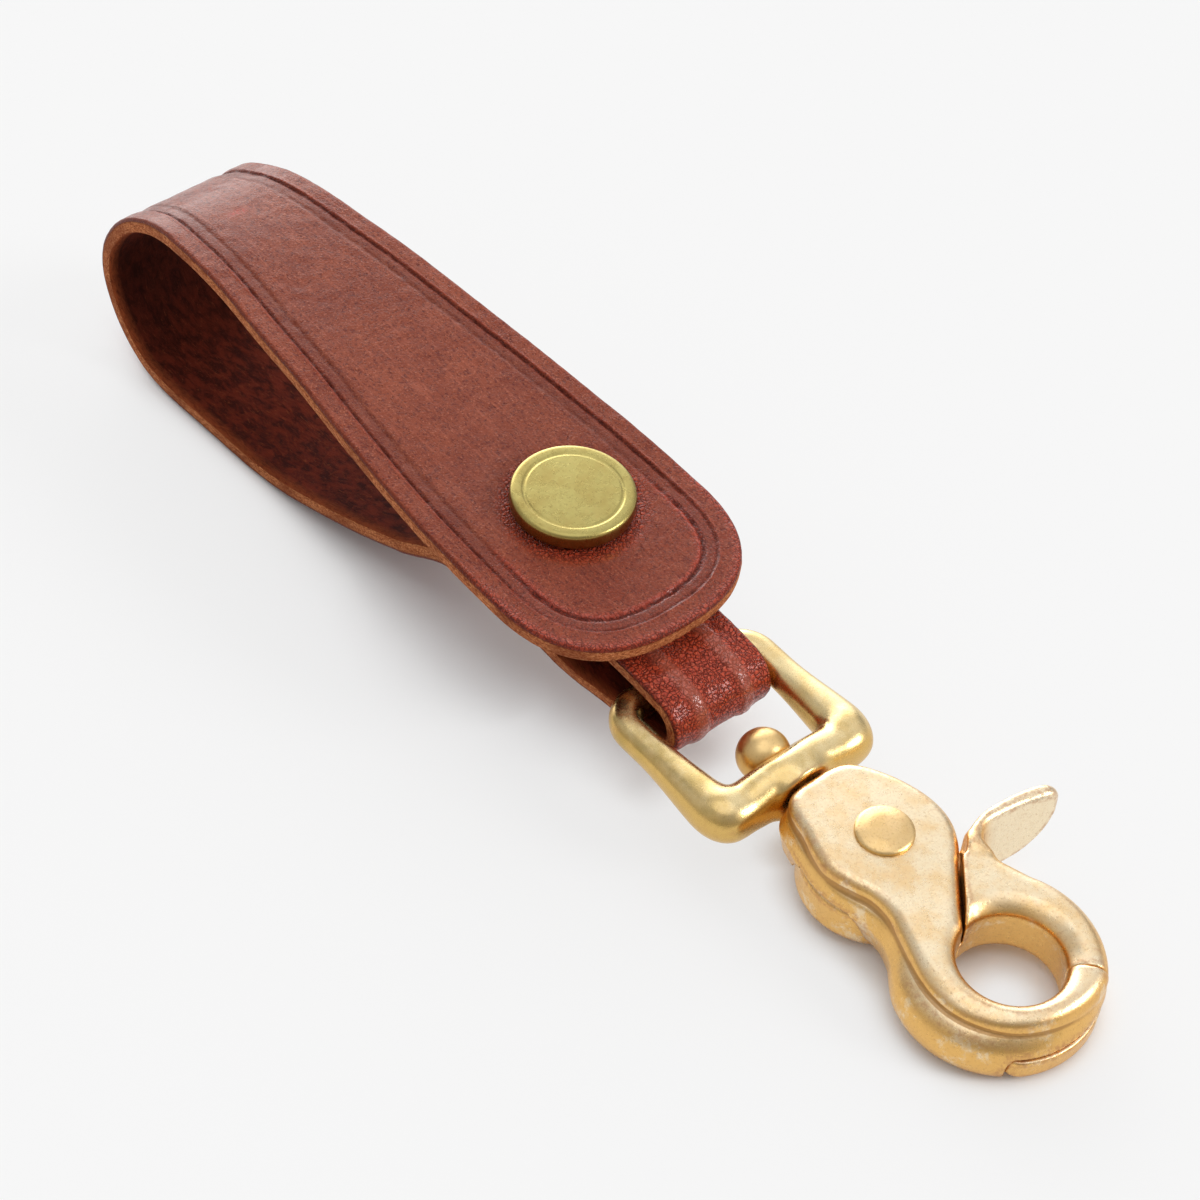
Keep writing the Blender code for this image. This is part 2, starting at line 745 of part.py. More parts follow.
def lever_outline():
    """The lever from above, anticlockwise from where its hub meets its web."""
    hub = rivet_centre()
    within = HUB_RADIUS - HUB_EDGE
    web = WEB_SIDE_SHARE * PLATE_HALF_WIDTH
    hub_end = math.asin((web - hub.y) / within)
    outline = arc(eye_centre(), EYE_RADIUS, EYE_START_ANGLE, FINGER_ANGLE - 2 * math.pi, 24)
    outline += arc(jaw_centre(), JAW_RADIUS, FINGER_ANGLE, SHOULDER_ANGLE, 22)
    outline += trigger_points()
    outline += arc(hub, within, HUB_START_ANGLE, 2 * math.pi + hub_end, 24)
    return outline


def trigger_points():
    """Round the thumb tab, from the jaw's shoulder to the hub: a curved fin with a round tip."""
    thickness = TRIGGER_THICKNESS
    root = jaw_centre().x - JAW_RADIUS - TRIGGER_ROOT_SHARE * thickness
    front, rear = (root + share * thickness for share in TRIGGER_TIP_SHARES)
    tip, end = TRIGGER_TIP, TRIGGER_REACH
    points = [(root + x * thickness, y * end) for x, y in TRIGGER_FRONT_SHARES]
    points += [(front, end - tip), (front - tip / 2, end), (rear + tip, end), (rear + tip / 3, end - tip)]
    points += [(root + x * thickness, y * end) for x, y in TRIGGER_REAR_SHARES]
    return [Vector(point) for point in points]


def offset_outline(outline, distance):
    """The outline moved outwards by a distance, or inwards by a negative one."""
    moved = []
    count = len(outline)
    for i, point in enumerate(outline):
        before = (point - outline[i - 1]).normalized()
        after = (outline[(i + 1) % count] - point).normalized()
        along = (before + after).normalized()
        outward = Vector((along.y, -along.x))
        stretch = min(1.6, 1 / max(0.3, before.dot(along)))
        moved.append(point + outward * distance * stretch)
    return moved


def tidy_outline(outline, least):
    """The outline without points closer together than least."""
    kept = [outline[0]]
    for point in outline[1:]:
        if (point - kept[-1]).length > least:
            kept.append(point)
    if (kept[-1] - kept[0]).length <= least:
        kept.pop()
    return kept


def prism(name, outline, low, high, edge, frame):
    """A solid over an outline, with its upper and lower edges rounded by edge."""
    least = HOOK_EDGE / 4
    outline = tidy_outline(outline, least)
    layers = [(low, 0.0), (high, 0.0)]
    if edge:
        shares = ((0.0, 1.0), (0.13, 0.5), (0.5, 0.13), (1.0, 0.0))
        layers = [(low + edge * up, edge * inset) for up, inset in shares]
        layers += [(high - edge * up, edge * inset) for up, inset in reversed(shares)]
    count = len(outline)
    points, faces = [], []
    for height, inset in layers:
        points += [(p.x, p.y, height) for p in offset_outline(outline, -inset)]
    for layer in range(len(layers) - 1):
        for i in range(count):
            n = (i + 1) % count
            a, b = layer * count, (layer + 1) * count
            faces.append((a + i, a + n, b + n, b + i))
    top = (len(layers) - 1) * count
    faces.append(tuple(reversed(range(count))))
    faces.append(tuple(top + i for i in range(count)))
    return mesh_object(name, points, faces, frame)


def upright(centre):
    return Matrix.Translation((centre.x, centre.y, 0.0))


def make_hook_body(frame):
    half = HOOK_HALF_THICKNESS
    body = prism("hook_body", body_outline(), -half, half, HOOK_EDGE, frame)
    finish_material(body, BRASS, 1.0, 0.35)
    grown = offset_outline(lever_outline(), PART_GAP)
    cut(body, prism("lever_room", grown, -half - OVERRUN, -SPLIT_DROP, 0.0, frame))
    rivet = upright(rivet_centre())
    room = HUB_RADIUS + PART_GAP
    cut(body, cylinder("hub_room", room, -half - OVERRUN, -SPLIT_DROP, frame, rivet, ROUND_SEGMENTS))
    cut(body, cylinder("body_rivet_hole", RIVET_RADIUS + RUNNING_GAP, -half, half + OVERRUN, frame, rivet))
    lengthwise = Matrix.Rotation(math.radians(90.0), 4, "Y")
    reach = PIN_REACH + RUNNING_GAP
    cut(body, cylinder("body_pin_hole", PIN_RADIUS + RUNNING_GAP, FRONT_BAR, reach, frame, lengthwise))
    leg = upright(rivet_centre() + leg_place())
    leg_top = coil_floor() + COIL_PITCH * COIL_TURNS + COIL_LEG + COIL_GAP
    cut(body, cylinder("leg_hole", COIL_WIRE + COIL_GAP, -half, leg_top, frame, leg))


def leg_place():
    """Where the spring's upper leg stands, from the rivet's axis."""
    angle = 2 * math.pi * COIL_TURNS
    return COIL_RADIUS * Vector((math.cos(angle), math.sin(angle)))


def make_lever(frame):
    half = HOOK_HALF_THICKNESS
    outline = lever_outline()
    pivot = empty("lever_axis", upright(rivet_centre()), frame)
    centred = [p - rivet_centre() for p in outline]
    lever = prism("lever", centred, -half, half, LEVER_EDGE, pivot)
    finish_material(lever, BRASS, 1.0, 0.35)
    top = half + OVERRUN
    floor = -SPLIT_DROP - PART_GAP
    rivet = upright(rivet_centre())
    join(lever, make_hub(floor, frame, rivet))
    grown = offset_outline(body_outline(), PART_GAP)
    cut(lever, prism("body_room", grown, floor, top, 0.0, frame))
    cut(lever, cylinder("hub_top", HUB_RADIUS + PART_GAP / 2, floor, top, frame, rivet, ROUND_SEGMENTS))
    hole = RIVET_RADIUS + RUNNING_GAP
    cut(lever, cylinder("lever_rivet_hole", hole, -HUB_DROP - OVERRUN, top, frame, rivet))
    room = COIL_WIRE + COIL_GAP
    pocket_floor = -half + COIL_WEB
    pocket = (
        (COIL_RADIUS - room, pocket_floor), (COIL_RADIUS + room, pocket_floor),
        (COIL_RADIUS + room, top), (COIL_RADIUS - room, top),
    )
    cut(lever, turned("coil_pocket", pocket, SMALL_SEGMENTS, frame, rivet))
    return pivot


def make_hub(top, frame, rivet):
    """The lever's round boss, which stands out below the hook's underside."""
    edge = HUB_EDGE
    profile = (
        (0, -HUB_DROP), (HUB_RADIUS - edge, -HUB_DROP), (HUB_RADIUS - edge / 4, -HUB_DROP + edge / 4),
        (HUB_RADIUS, -HUB_DROP + edge), (HUB_RADIUS, top - edge / 2), (HUB_RADIUS - edge / 2, top),
        (HUB_RADIUS - edge, top + edge / 2), (0, top + edge / 2),
    )
    return turned("lever_hub", profile, ROUND_SEGMENTS, frame, rivet)


def coil_floor():
    """Height of the wire's centre where the coil starts."""
    return -HOOK_HALF_THICKNESS + COIL_WEB + COIL_GAP / 2 + COIL_WIRE


def make_lever_spring(pivot):
    """A torsion coil about the rivet, with one leg turned up into the body's groove."""
    steps = round(16 * COIL_TURNS)
    spine = []
    for k in range(steps + 1):
        angle = 2 * math.pi * COIL_TURNS * k / steps
        height = coil_floor() + COIL_PITCH * COIL_TURNS * k / steps
        spine.append(Vector((COIL_RADIUS * math.cos(angle), COIL_RADIUS * math.sin(angle), height)))
    spine.append(spine[-1] + Vector((0.0, 0.0, COIL_LEG)))
    curve = bpy.data.curves.new("lever_spring", "CURVE")
    curve.dimensions = "3D"
    curve.bevel_depth = COIL_WIRE
    curve.bevel_resolution = 1
    curve.use_fill_caps = True
    spline = curve.splines.new("POLY")
    spline.points.add(len(spine) - 1)
    for point, place in zip(spline.points, spine):
        point.co = (*place, 1.0)
    spring = bpy.data.objects.new("lever_spring", curve)
    bpy.context.scene.collection.objects.link(spring)
    spring.parent = pivot
    finish_material(spring, STEEL, 1.0, 0.3)


def make_rivet(frame):
    seat = HOOK_HALF_THICKNESS + RUNNING_GAP
    foot = RIVET_FOOT_RADIUS
    under = -HUB_DROP - RUNNING_GAP
    profile = [(0, seat + RIVET_HEAD)]
    profile += [(x * RIVET_HEAD_RADIUS, seat + z * RIVET_HEAD) for x, z in RIVET_HEAD_SHARES]
    profile += [
        (RIVET_RADIUS, seat), (RIVET_RADIUS, under), (foot, under), (foot, under - RIVET_FOOT / 2),
        (foot * RIVET_FOOT_SHARE, under - RIVET_FOOT), (0, under - RIVET_FOOT),
    ]
    rivet = turned("pivot_rivet", profile, SMALL_SEGMENTS, frame, upright(rivet_centre()))
    finish_material(rivet, BRASS, 1.0, 0.4)


def make_hardware():
    bar = Matrix.Translation((BAR_AHEAD, -RING_OFFSET, -BAR_DROP))
    frame = empty("ring_axis", bar @ Matrix.Rotation(HOOK_PITCH, 4, "Y"))
    make_ring(frame)
    make_pin(frame)
    make_hook_body(frame)
    pivot = make_lever(frame)
    make_lever_spring(pivot)
    make_rivet(frame)


clear_scene()
make_strap()
make_snap()
make_hardware()
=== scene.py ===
import math

import bmesh
import bpy
import numpy as np
from mathutils import Matrix, Vector


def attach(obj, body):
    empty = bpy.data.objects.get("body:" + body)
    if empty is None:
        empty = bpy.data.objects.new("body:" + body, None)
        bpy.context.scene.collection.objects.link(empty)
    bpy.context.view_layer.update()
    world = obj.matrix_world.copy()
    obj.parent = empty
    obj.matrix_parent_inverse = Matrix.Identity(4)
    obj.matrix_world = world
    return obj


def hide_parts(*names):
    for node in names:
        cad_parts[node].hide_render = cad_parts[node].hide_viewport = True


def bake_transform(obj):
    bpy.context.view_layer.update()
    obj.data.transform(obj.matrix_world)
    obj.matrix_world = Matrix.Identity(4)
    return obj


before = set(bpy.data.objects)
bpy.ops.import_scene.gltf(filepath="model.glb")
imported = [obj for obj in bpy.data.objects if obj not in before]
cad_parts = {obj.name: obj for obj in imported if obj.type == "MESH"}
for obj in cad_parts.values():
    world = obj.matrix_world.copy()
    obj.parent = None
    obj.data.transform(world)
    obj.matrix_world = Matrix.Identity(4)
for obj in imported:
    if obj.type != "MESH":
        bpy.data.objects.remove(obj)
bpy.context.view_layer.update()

# Lengths below are in millimetres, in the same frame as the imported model.
MM = 0.001

# Strap
LEATHER = 2.4
SKIN_INSET = 0.13
EDGE_INSET = 0.1
LAYER_GAP = 0.3
LOOP_REACH = 88.2
LOOP_TOP = 5.2
FLOOR_DROP = 25.0
STRAP_HALF_WIDTH = 11.4
TAB_HALF_WIDTH = 7.6
FLAP_HALF_WIDTH = 16.3
FLAP_TIP = 22.5
FLAP_TIP_LENGTH = 16.8
FLAP_PITCH = math.radians(7.0)
STUD_PITCH = math.radians(4.0)
TAIL_LENGTH = 9.0
STRAP_OFFSET = 1.2
SNAP_GAP = 2.7
SNAP_FLAT = 8.5
STUD_FLANGE = 5.0
FLAT_MARGIN = 1.2
CAP_HEIGHT = 2.3
CAP_RADIUS = 7.6

# Swivel ring and hook, in the ring's frame
BAR = (21.4, -1.5, -14.3)
HOOK_PITCH = math.radians(6.0)
WIRE = 2.0
WRAP_GAP = 0.3
WRAP_AHEAD = 3.4
WRAP_DROP = 0.3
RING_INNER = 8.2
REAR_CORNER = 3.2
FRONT_CORNER = 3.0
FRONT_BAR = 19.3
FRONT_BAR_HALF = 2.9
BOSS_HALF_HEIGHT = 4.2
BALL_RADIUS = 3.3
BALL_AHEAD = 14.9
PIN_RADIUS = 1.6
PIN_REACH = 23.6
NECK = FRONT_BAR + FRONT_BAR_HALF
HALF_THICKNESS = 3.9
SPLIT = -0.4
PART_GAP = 0.3
JAW = (53.2, 0.3)
JAW_RADIUS = 12.0
EYE = (54.2, 1.0)
EYE_RADIUS = 6.1
RIVET = (33.5, 1.1)
HUB_RADIUS = 9.2
HUB_DROP = 5.7
RIVET_HEAD_RADIUS = 3.5
RIVET_HEAD = 0.95
FINGER_END = math.radians(-41.0)
NOSE_END = math.radians(41.0)
NOSE_GAP = 0.08
FIN_LEAN = 0.14

LOOP_SHARES = (
    (0.217, 0.278), (0.316, 0.176), (0.417, 0.089), (0.506, 0.026), (0.58, 0.0), (0.67, 0.0),
    (0.761, 0.0), (0.841, 0.0), (0.908, 0.03), (0.954, 0.112), (0.985, 0.236), (1.0, 0.391),
    (0.991, 0.543), (0.958, 0.702), (0.905, 0.848), (0.843, 0.937), (0.79, 0.98), (0.735, 0.997),
    (0.677, 1.0), (0.622, 0.99), (0.505, 0.957), (0.397, 0.917), (0.29, 0.868), (0.199, 0.828),
)
FLAP_WIDTH_SHARES = (
    (1.0, 0.613), (0.84, 0.62), (0.735, 0.668), (0.622, 0.712), (0.505, 0.785), (0.397, 0.834),
    (0.29, 0.896), (0.1875, 0.945), (0.09, 0.985), (0.0, 1.0), (-1.0, 1.0),
)
STRAP_WIDTH_SHARES = (
    (1.0, 0.877), (0.95, 0.9), (0.85, 0.965), (0.78, 0.985), (0.3, 1.0), (0.0, 1.0), (-0.14, 0.92),
    (-0.18, 0.9), (-1.0, 0.9),
)
SHOULDER = (9.63, 19.26)
TIP_ROUNDNESS = 2.5
UNDER_BAR_SHARES = ((0.99, 0.994), (0.82, 0.948), (0.66, 0.856), (0.5, 0.75))

# Where the flap's skin takes over, on the outside of the bend, and where the tongue widens
PATH_STEP = 0.1
SEAM_HEIGHT = -6.0
TAB_PAST_NOSE = 8.0
WRAP_ANGLES = (84.0, -96.0)

# Creased border, measured from the strap's edge: a sharp outer line, a sunk band, a soft inner line
OUTER_GROOVE = 3.0
INNER_GROOVE = 4.7
TAB_BAND = 4.0
TAB_BAND_HALF = 0.95
EDGE_ROUND = 0.5
BACK_ROUND = 0.25
SCUFF = (-66.0, -2.0)
SCUFF_SIZE = (0.7, 1.4)
BEND_SHINE = 11.0

# The ring's and the hook's castings
RING_STEP = 0.2
HOOK_STEP = 0.22
RING_SQUARENESS = 2.3
RING_CORNERS = (18.8, 9.5, 3.05)
SEAT_ROOM = 0.22
BORE_ROOM = 0.15
WALL_TOP = 2.1
JAW_MIDDLE_HEIGHT = -1.9
JAW_START = (37.0, 50.0)
LEVER_ROOM = 0.22
EYE_SPAN = (58.0, -164.0)
WEB_SIDE = -2.064
FOOT_RADIUS = 3.0
SHANK_RADIUS = 1.9
CORNER_STEPS = 6
BALL_STEPS = 32

# Colours and lights
TARNISH = (0.5, 0.23, 0.11)
OLIVE = (0.4, 0.28, 0.07)
PAPER = (0.9, 0.9, 0.9)
PAPER_GLOW = (0.896, 0.896, 0.896)
FLOOR_GLOW = 0.8
ROOM_LIGHT = 0.5
# Direction, where its cosine starts and is full, and strength
ROOM_PATCHES = (
    ((-0.38, 0.5, 0.79), 0.72, 0.97, 0.6),
    ((-0.88, 0.42, 0.12), 0.66, 0.98, 3.5),
    ((0.6, 0.62, 0.4), 0.6, 0.98, 0.45),
    ((-0.2, -0.75, 0.6), 0.6, 0.98, 0.25),
)
# Name, direction, strength and spread in degrees
SUNS = (
    ("softbox", (-0.12, 0.14, -0.98), 0.5, 52.0),
    ("side_window", (-0.686, -0.48, -0.486), 1.15, 22.0),
    ("back_wall", (0.88, -0.42, -0.15), 0.8, 40.0),
)
CAMERA_PLACE = (0.2082, -0.1713, 0.2377)
CAMERA_RIGHT = (0.6443, 0.7647, 0.0)
CAMERA_BACK = (0.5546, -0.4673, 0.6884)


# Meshes


def add_object(name, data):
    obj = bpy.data.objects.new(name, data)
    bpy.context.scene.collection.objects.link(obj)
    return obj


def new_mesh(name, points, faces):
    """A smooth-shaded mesh object from points in millimetres."""
    mesh = bpy.data.meshes.new(name)
    mesh.from_pydata((np.asarray(points, np.float32) * MM).tolist(), [], faces)
    mesh.shade_smooth()
    return add_object(name, mesh)


def store(obj, name, values, kind="FLOAT"):
    """Keeps one number, or one vector, for each vertex, for the materials to read."""
    attribute = obj.data.attributes.new(name, kind, "POINT")
    field = "vector" if kind == "FLOAT_VECTOR" else "value"
    attribute.data.foreach_set(field, np.asarray(values, np.float32).ravel())


def rounded_profile(corners):
    """(radius, height) points with each corner (radius, height, rounding) drawn as an arc-like curve."""
    points = [corners[0][:2]]
    for before, corner, after in zip(corners, corners[1:], corners[2:]):
        at, rounding = np.array(corner[:2]), corner[2]
        if rounding == 0:
            points.append(tuple(at))
            continue
        sides = (before[:2] - at, after[:2] - at)
        start, end = (at + side / np.hypot(*side) * rounding for side in sides)
        for t in np.arange(CORNER_STEPS + 1) / CORNER_STEPS:
            points.append(tuple(start * (1 - t) ** 2 + 2 * at * t * (1 - t) + end * t**2))
    points.append(corners[-1][:2])
    return points


def place(points, matrix):
    """Points in millimetres, moved by a matrix whose translation is in millimetres."""
    rows = np.array(matrix)
    return np.asarray(points, float) @ rows[:3, :3].T + rows[:3, 3]


def lathe(name, corners, segments, matrix):
    """A closed turned solid from corners (radius, height, rounding) that start and end on the axis."""
    profile = rounded_profile(corners)
    angle = 2 * np.pi * np.arange(segments) / segments
    points = [(0.0, 0.0, profile[0][1])]
    for radius, height in profile[1:-1]:
        points += zip(radius * np.cos(angle), radius * np.sin(angle), np.full(segments, height))
    points.append((0.0, 0.0, profile[-1][1]))
    last = len(points) - 1
    faces = []
    for k in range(segments):
        n = (k + 1) % segments
        faces.append((0, 1 + k, 1 + n))
        for a in range(1, last - segments, segments):
            b = a + segments
            faces.append((a + k, b + k, b + n, a + n))
        faces.append((b + k, last, b + n))
    obj = new_mesh(name, place(points, matrix), faces)
    obj.data.set_sharp_from_angle(angle=math.radians(50.0))
    return obj


def ease(value, low, high):
    """0 at low, 1 at high, with a smooth start and end."""
    share = np.clip((value - low) / (high - low), 0, 1)
    return share * share * (3 - 2 * share)


def hump(value, at, width, power=2):
    """1 where the value is at the given one, falling to 0 over about the width on both sides."""
    return np.exp(-((value - at) / width) ** power)


def ripple(seed, count, shortest, longest):
    """A smooth bumpy function of (a, b) in millimetres, about -1 to 1."""
    draw = np.random.default_rng(seed)
    heading = draw.uniform(0, 2 * np.pi, count)
    length = draw.uniform(shortest, longest, count)
    phase = draw.uniform(0, 2 * np.pi, count)

    def value(a, b):
        total = 0.0
        for h, l, p in zip(heading, length, phase):
            total = total + np.sin((a * np.cos(h) + b * np.sin(h)) * 2 * np.pi / l + p)
        return total / math.sqrt(count)

    return value


# Materials


class Nodes:
    """A node tree whose nodes are added one call at a time."""

    def __init__(self, tree):
        self.tree = tree

    def put(self, socket, value):
        if isinstance(value, bpy.types.NodeSocket):
            self.tree.links.new(value, socket)
        elif isinstance(value, tuple) and socket.type == "RGBA":
            socket.default_value = (*value, 1.0)
        else:
            socket.default_value = value

    def add(self, kind, inputs=(), output=0, **settings):
        node = self.tree.nodes.new("ShaderNode" + kind)
        for key, value in settings.items():
            setattr(node, key, value)
        for key, value in dict(inputs).items():
            self.put(node.inputs[key], value)
        return node.outputs[output] if node.outputs else node

    def math(self, operation, a, b=0.0):
        return self.add("Math", {0: a, 1: b}, operation=operation)

    def times(self, a, b):
        return self.math("MULTIPLY", a, b)

    def ramp(self, value, low, high, start=0.0, end=1.0):
        """Start below low, end above high, smooth between."""
        inputs = {"Value": value, "From Min": low, "From Max": high, "To Min": start, "To Max": end}
        return self.add("MapRange", inputs, interpolation_type="SMOOTHSTEP")


class Shader(Nodes):
    """A Principled material with the textures and stains that the pieces share."""

    def __init__(self, name):
        self.material = bpy.data.materials.new(name)
        self.material.use_nodes = True
        super().__init__(self.material.node_tree)
        self.surface = self.tree.nodes["Principled BSDF"]

    def set(self, **inputs):
        for key, value in inputs.items():
            self.put(self.surface.inputs[key.replace("_", " ")], value)

    def mix(self, share, a, b):
        return self.add("Mix", {0: share, 6: a, 7: b}, 2, data_type="RGBA")

    def tint(self, tone, mask, amount, colour):
        """The tone with this much of a colour where the mask is 1."""
        return self.mix(self.times(mask, amount), tone, colour)

    def stain(self, tone, texture, low, high, amount, colour):
        """The tone with this much of a colour where the texture passes from low to high."""
        return self.mix(self.ramp(texture, low, high, 0.0, amount), tone, colour)

    def attribute(self, name, output="Fac"):
        return self.add("Attribute", attribute_name=name, output=output)

    def stretched(self, vector, scale):
        return self.add("VectorMath", {0: vector, 1: scale}, operation="MULTIPLY")

    def noise(self, vector, scale, detail=2.0, roughness=0.5, distortion=0.0, output=0):
        names = ("Vector", "Scale", "Detail", "Roughness", "Distortion")
        return self.add("TexNoise", zip(names, (vector, scale, detail, roughness, distortion)), output)

    def cells(self, vector, scale, feature="DISTANCE_TO_EDGE"):
        return self.add("TexVoronoi", {"Vector": vector, "Scale": scale}, feature=feature)

    def bump(self, height, distance, strength=1.0, **normal):
        return self.add("Bump", {"Height": height, "Distance": distance, "Strength": strength, **normal})


def grain_leather():
    """The waxed, dyed side: pores everywhere, pebbled and redder where it is bent or pressed."""
    s = Shader("grain_leather")
    at = s.attribute("strap_place", "Vector")
    pebble, shine, burnish = (s.attribute(name) for name in ("pebble", "shine", "burnish"))
    cloud = s.noise(at, 0.13, 4.0, 0.6)
    speck = s.noise(s.stretched(at, (0.75, 1.0, 1.0)), 2.5, 3.0, 0.75)
    glint = s.noise(at, 4.2, 2.0, 0.6)
    streak = s.noise(s.stretched(at, (0.12, 2.2, 1.0)), 1.0, 3.0, 0.6)
    ragged = s.ramp(s.noise(at, 1.9, 3.0, 0.7), 0.36, 0.56)
    warp = s.add("VectorMath", {0: at, 1: s.noise(at, 1.3, output=1)}, operation="ADD")
    edge = s.cells(warp, 1.75)
    crack = s.ramp(edge, 0.0, 0.14, 1.0, 0.0)
    pit = s.ramp(s.cells(s.stretched(at, (0.6, 1.0, 1.0)), 2.6, "F1"), 0.04, 0.3, 1.0, 0.0)

    brown = s.mix(s.ramp(cloud, 0.25, 0.75), (0.188, 0.033, 0.014), (0.256, 0.055, 0.024))
    brown = s.stain(brown, speck, 0.5, 0.64, 0.75, (0.085, 0.01, 0.007))
    # Pale specks on the grain's tiny bumps: a painted highlight.
    brown = s.stain(brown, glint, 0.56, 0.7, 0.45, (0.52, 0.17, 0.09))
    brown = s.stain(brown, streak, 0.52, 0.7, 0.35, (0.4, 0.105, 0.055))
    brown = s.tint(brown, pit, 0.6, (0.045, 0.006, 0.004))
    red = s.mix(s.ramp(speck, 0.35, 0.65), (0.56, 0.07, 0.026), (0.36, 0.036, 0.014))
    # Bright red specks on the pebbles: a painted highlight.
    red = s.stain(red, glint, 0.58, 0.7, 0.6, (0.8, 0.22, 0.11))
    red = s.tint(red, crack, 0.88, (0.052, 0.006, 0.004))
    # The tab's raised bands made lighter: a painted highlight.
    red = s.tint(red, s.attribute("raised"), 0.55, (0.43, 0.105, 0.06))

    # The red lip beside each crease is a painted highlight on the crease's lit wall.
    lip = s.times(s.attribute("lip"), ragged)
    groove = s.times(s.attribute("groove"), s.ramp(ragged, 0.0, 1.0, 0.6, 1.0))
    tone = s.mix(pebble, brown, red)
    tone = s.tint(tone, lip, 0.6, (0.66, 0.09, 0.045))
    # Crease lines darkened: partly the creaser's own darkening, partly painted shade in the creases.
    tone = s.tint(tone, groove, 0.88, (0.045, 0.007, 0.005))
    tone = s.tint(tone, s.attribute("sunk"), 0.28, (0.095, 0.019, 0.013))
    tone = s.tint(tone, burnish, 0.6, (0.095, 0.016, 0.009))
    scuff = s.times(s.attribute("scuff"), s.ramp(speck, 0.42, 0.58, 0.0, 0.7))
    tone = s.mix(scuff, tone, (0.56, 0.06, 0.03))

    rough = s.ramp(s.noise(at, 1.1, 4.0), 0.3, 0.7, 0.38, 0.52)
    rough = s.math("SUBTRACT", rough, s.times(pebble, 0.12))
    dull = s.math("MAXIMUM", s.math("MAXIMUM", groove, burnish), s.times(pebble, crack))
    waxed = s.times(shine, s.ramp(dull, 0.0, 0.6, 1.0, 0.1))
    pebbles = s.times(s.ramp(edge, 0.0, 0.3), s.ramp(pebble, 0.0, 1.0, 0.1, 1.0))
    pebbles = s.times(pebbles, s.ramp(shine, 0.15, 0.5, 1.0, 0.4))
    fine = s.bump(s.math("SUBTRACT", glint, s.times(pit, 0.8)), 0.0001)
    relief = s.bump(pebbles, 0.00028, Normal=fine)
    film = s.bump(pebbles, 0.00003)
    s.set(Base_Color=tone, Roughness=rough, Normal=relief, Specular_IOR_Level=0.1)
    s.set(Coat_Weight=waxed, Coat_Roughness=0.18, Coat_IOR=1.6, Coat_Normal=film)
    return s.material


def cut_edge():
    """The strap's raw edge: layered orange-brown fibre under a dark line of dye."""
    s = Shader("cut_edge")
    at = s.attribute("strap_place", "Vector")
    layers = s.noise(s.stretched(at, (0.5, 1.0, 3.2)), 1.0, 5.0, 0.65, 0.4)
    fibre = s.noise(s.stretched(at, (2.0, 3.0, 4.5)), 1.0, 4.0, 0.75)
    tan = s.mix(s.ramp(layers, 0.32, 0.66), (0.36, 0.085, 0.026), (0.56, 0.19, 0.07))
    tan = s.stain(tan, fibre, 0.5, 0.64, 0.8, (0.78, 0.34, 0.14))
    tan = s.stain(tan, fibre, 0.48, 0.36, 0.8, (0.11, 0.018, 0.007))
    tan = s.stain(tan, s.noise(at, 0.16, 3.0), 0.42, 0.66, 0.55, (0.2, 0.04, 0.013))
    tan = s.tint(tan, s.attribute("burnish"), 0.75, (0.08, 0.013, 0.006))
    s.set(Base_Color=tan, Roughness=0.8, Normal=s.bump(fibre, 0.00026), Specular_IOR_Level=0.1)
    return s.material


def flesh_leather():
    """The strap's back: dark, with loose fibres combed along it, a paler, worn rim, and painted shade
    deep inside the loop near the bend.
    """
    s = Shader("flesh_leather")
    at = s.attribute("strap_place", "Vector")
    swirl = s.noise(s.stretched(at, (0.4, 0.9, 1.0)), 1.0, 5.0, 0.65, 0.5)
    hair = s.noise(s.stretched(at, (0.7, 3.4, 1.0)), 1.0, 5.0, 0.75, 1.4)
    dark = s.mix(s.ramp(swirl, 0.35, 0.65), (0.05, 0.006, 0.003), (0.17, 0.022, 0.009))
    dark = s.stain(dark, hair, 0.54, 0.74, 0.75, (0.36, 0.085, 0.03))
    # Painted shade deep inside the loop, near the bend.
    dark = s.tint(dark, s.attribute("deep"), 0.75, (0.012, 0.002, 0.001))
    worn = s.times(s.attribute("rim"), s.ramp(hair, 0.3, 0.6, 0.25, 1.0))
    dark = s.mix(worn, dark, (0.33, 0.075, 0.024))
    s.set(Base_Color=dark, Roughness=0.9, Normal=s.bump(hair, 0.0003), Specular_IOR_Level=0.08)
    return s.material


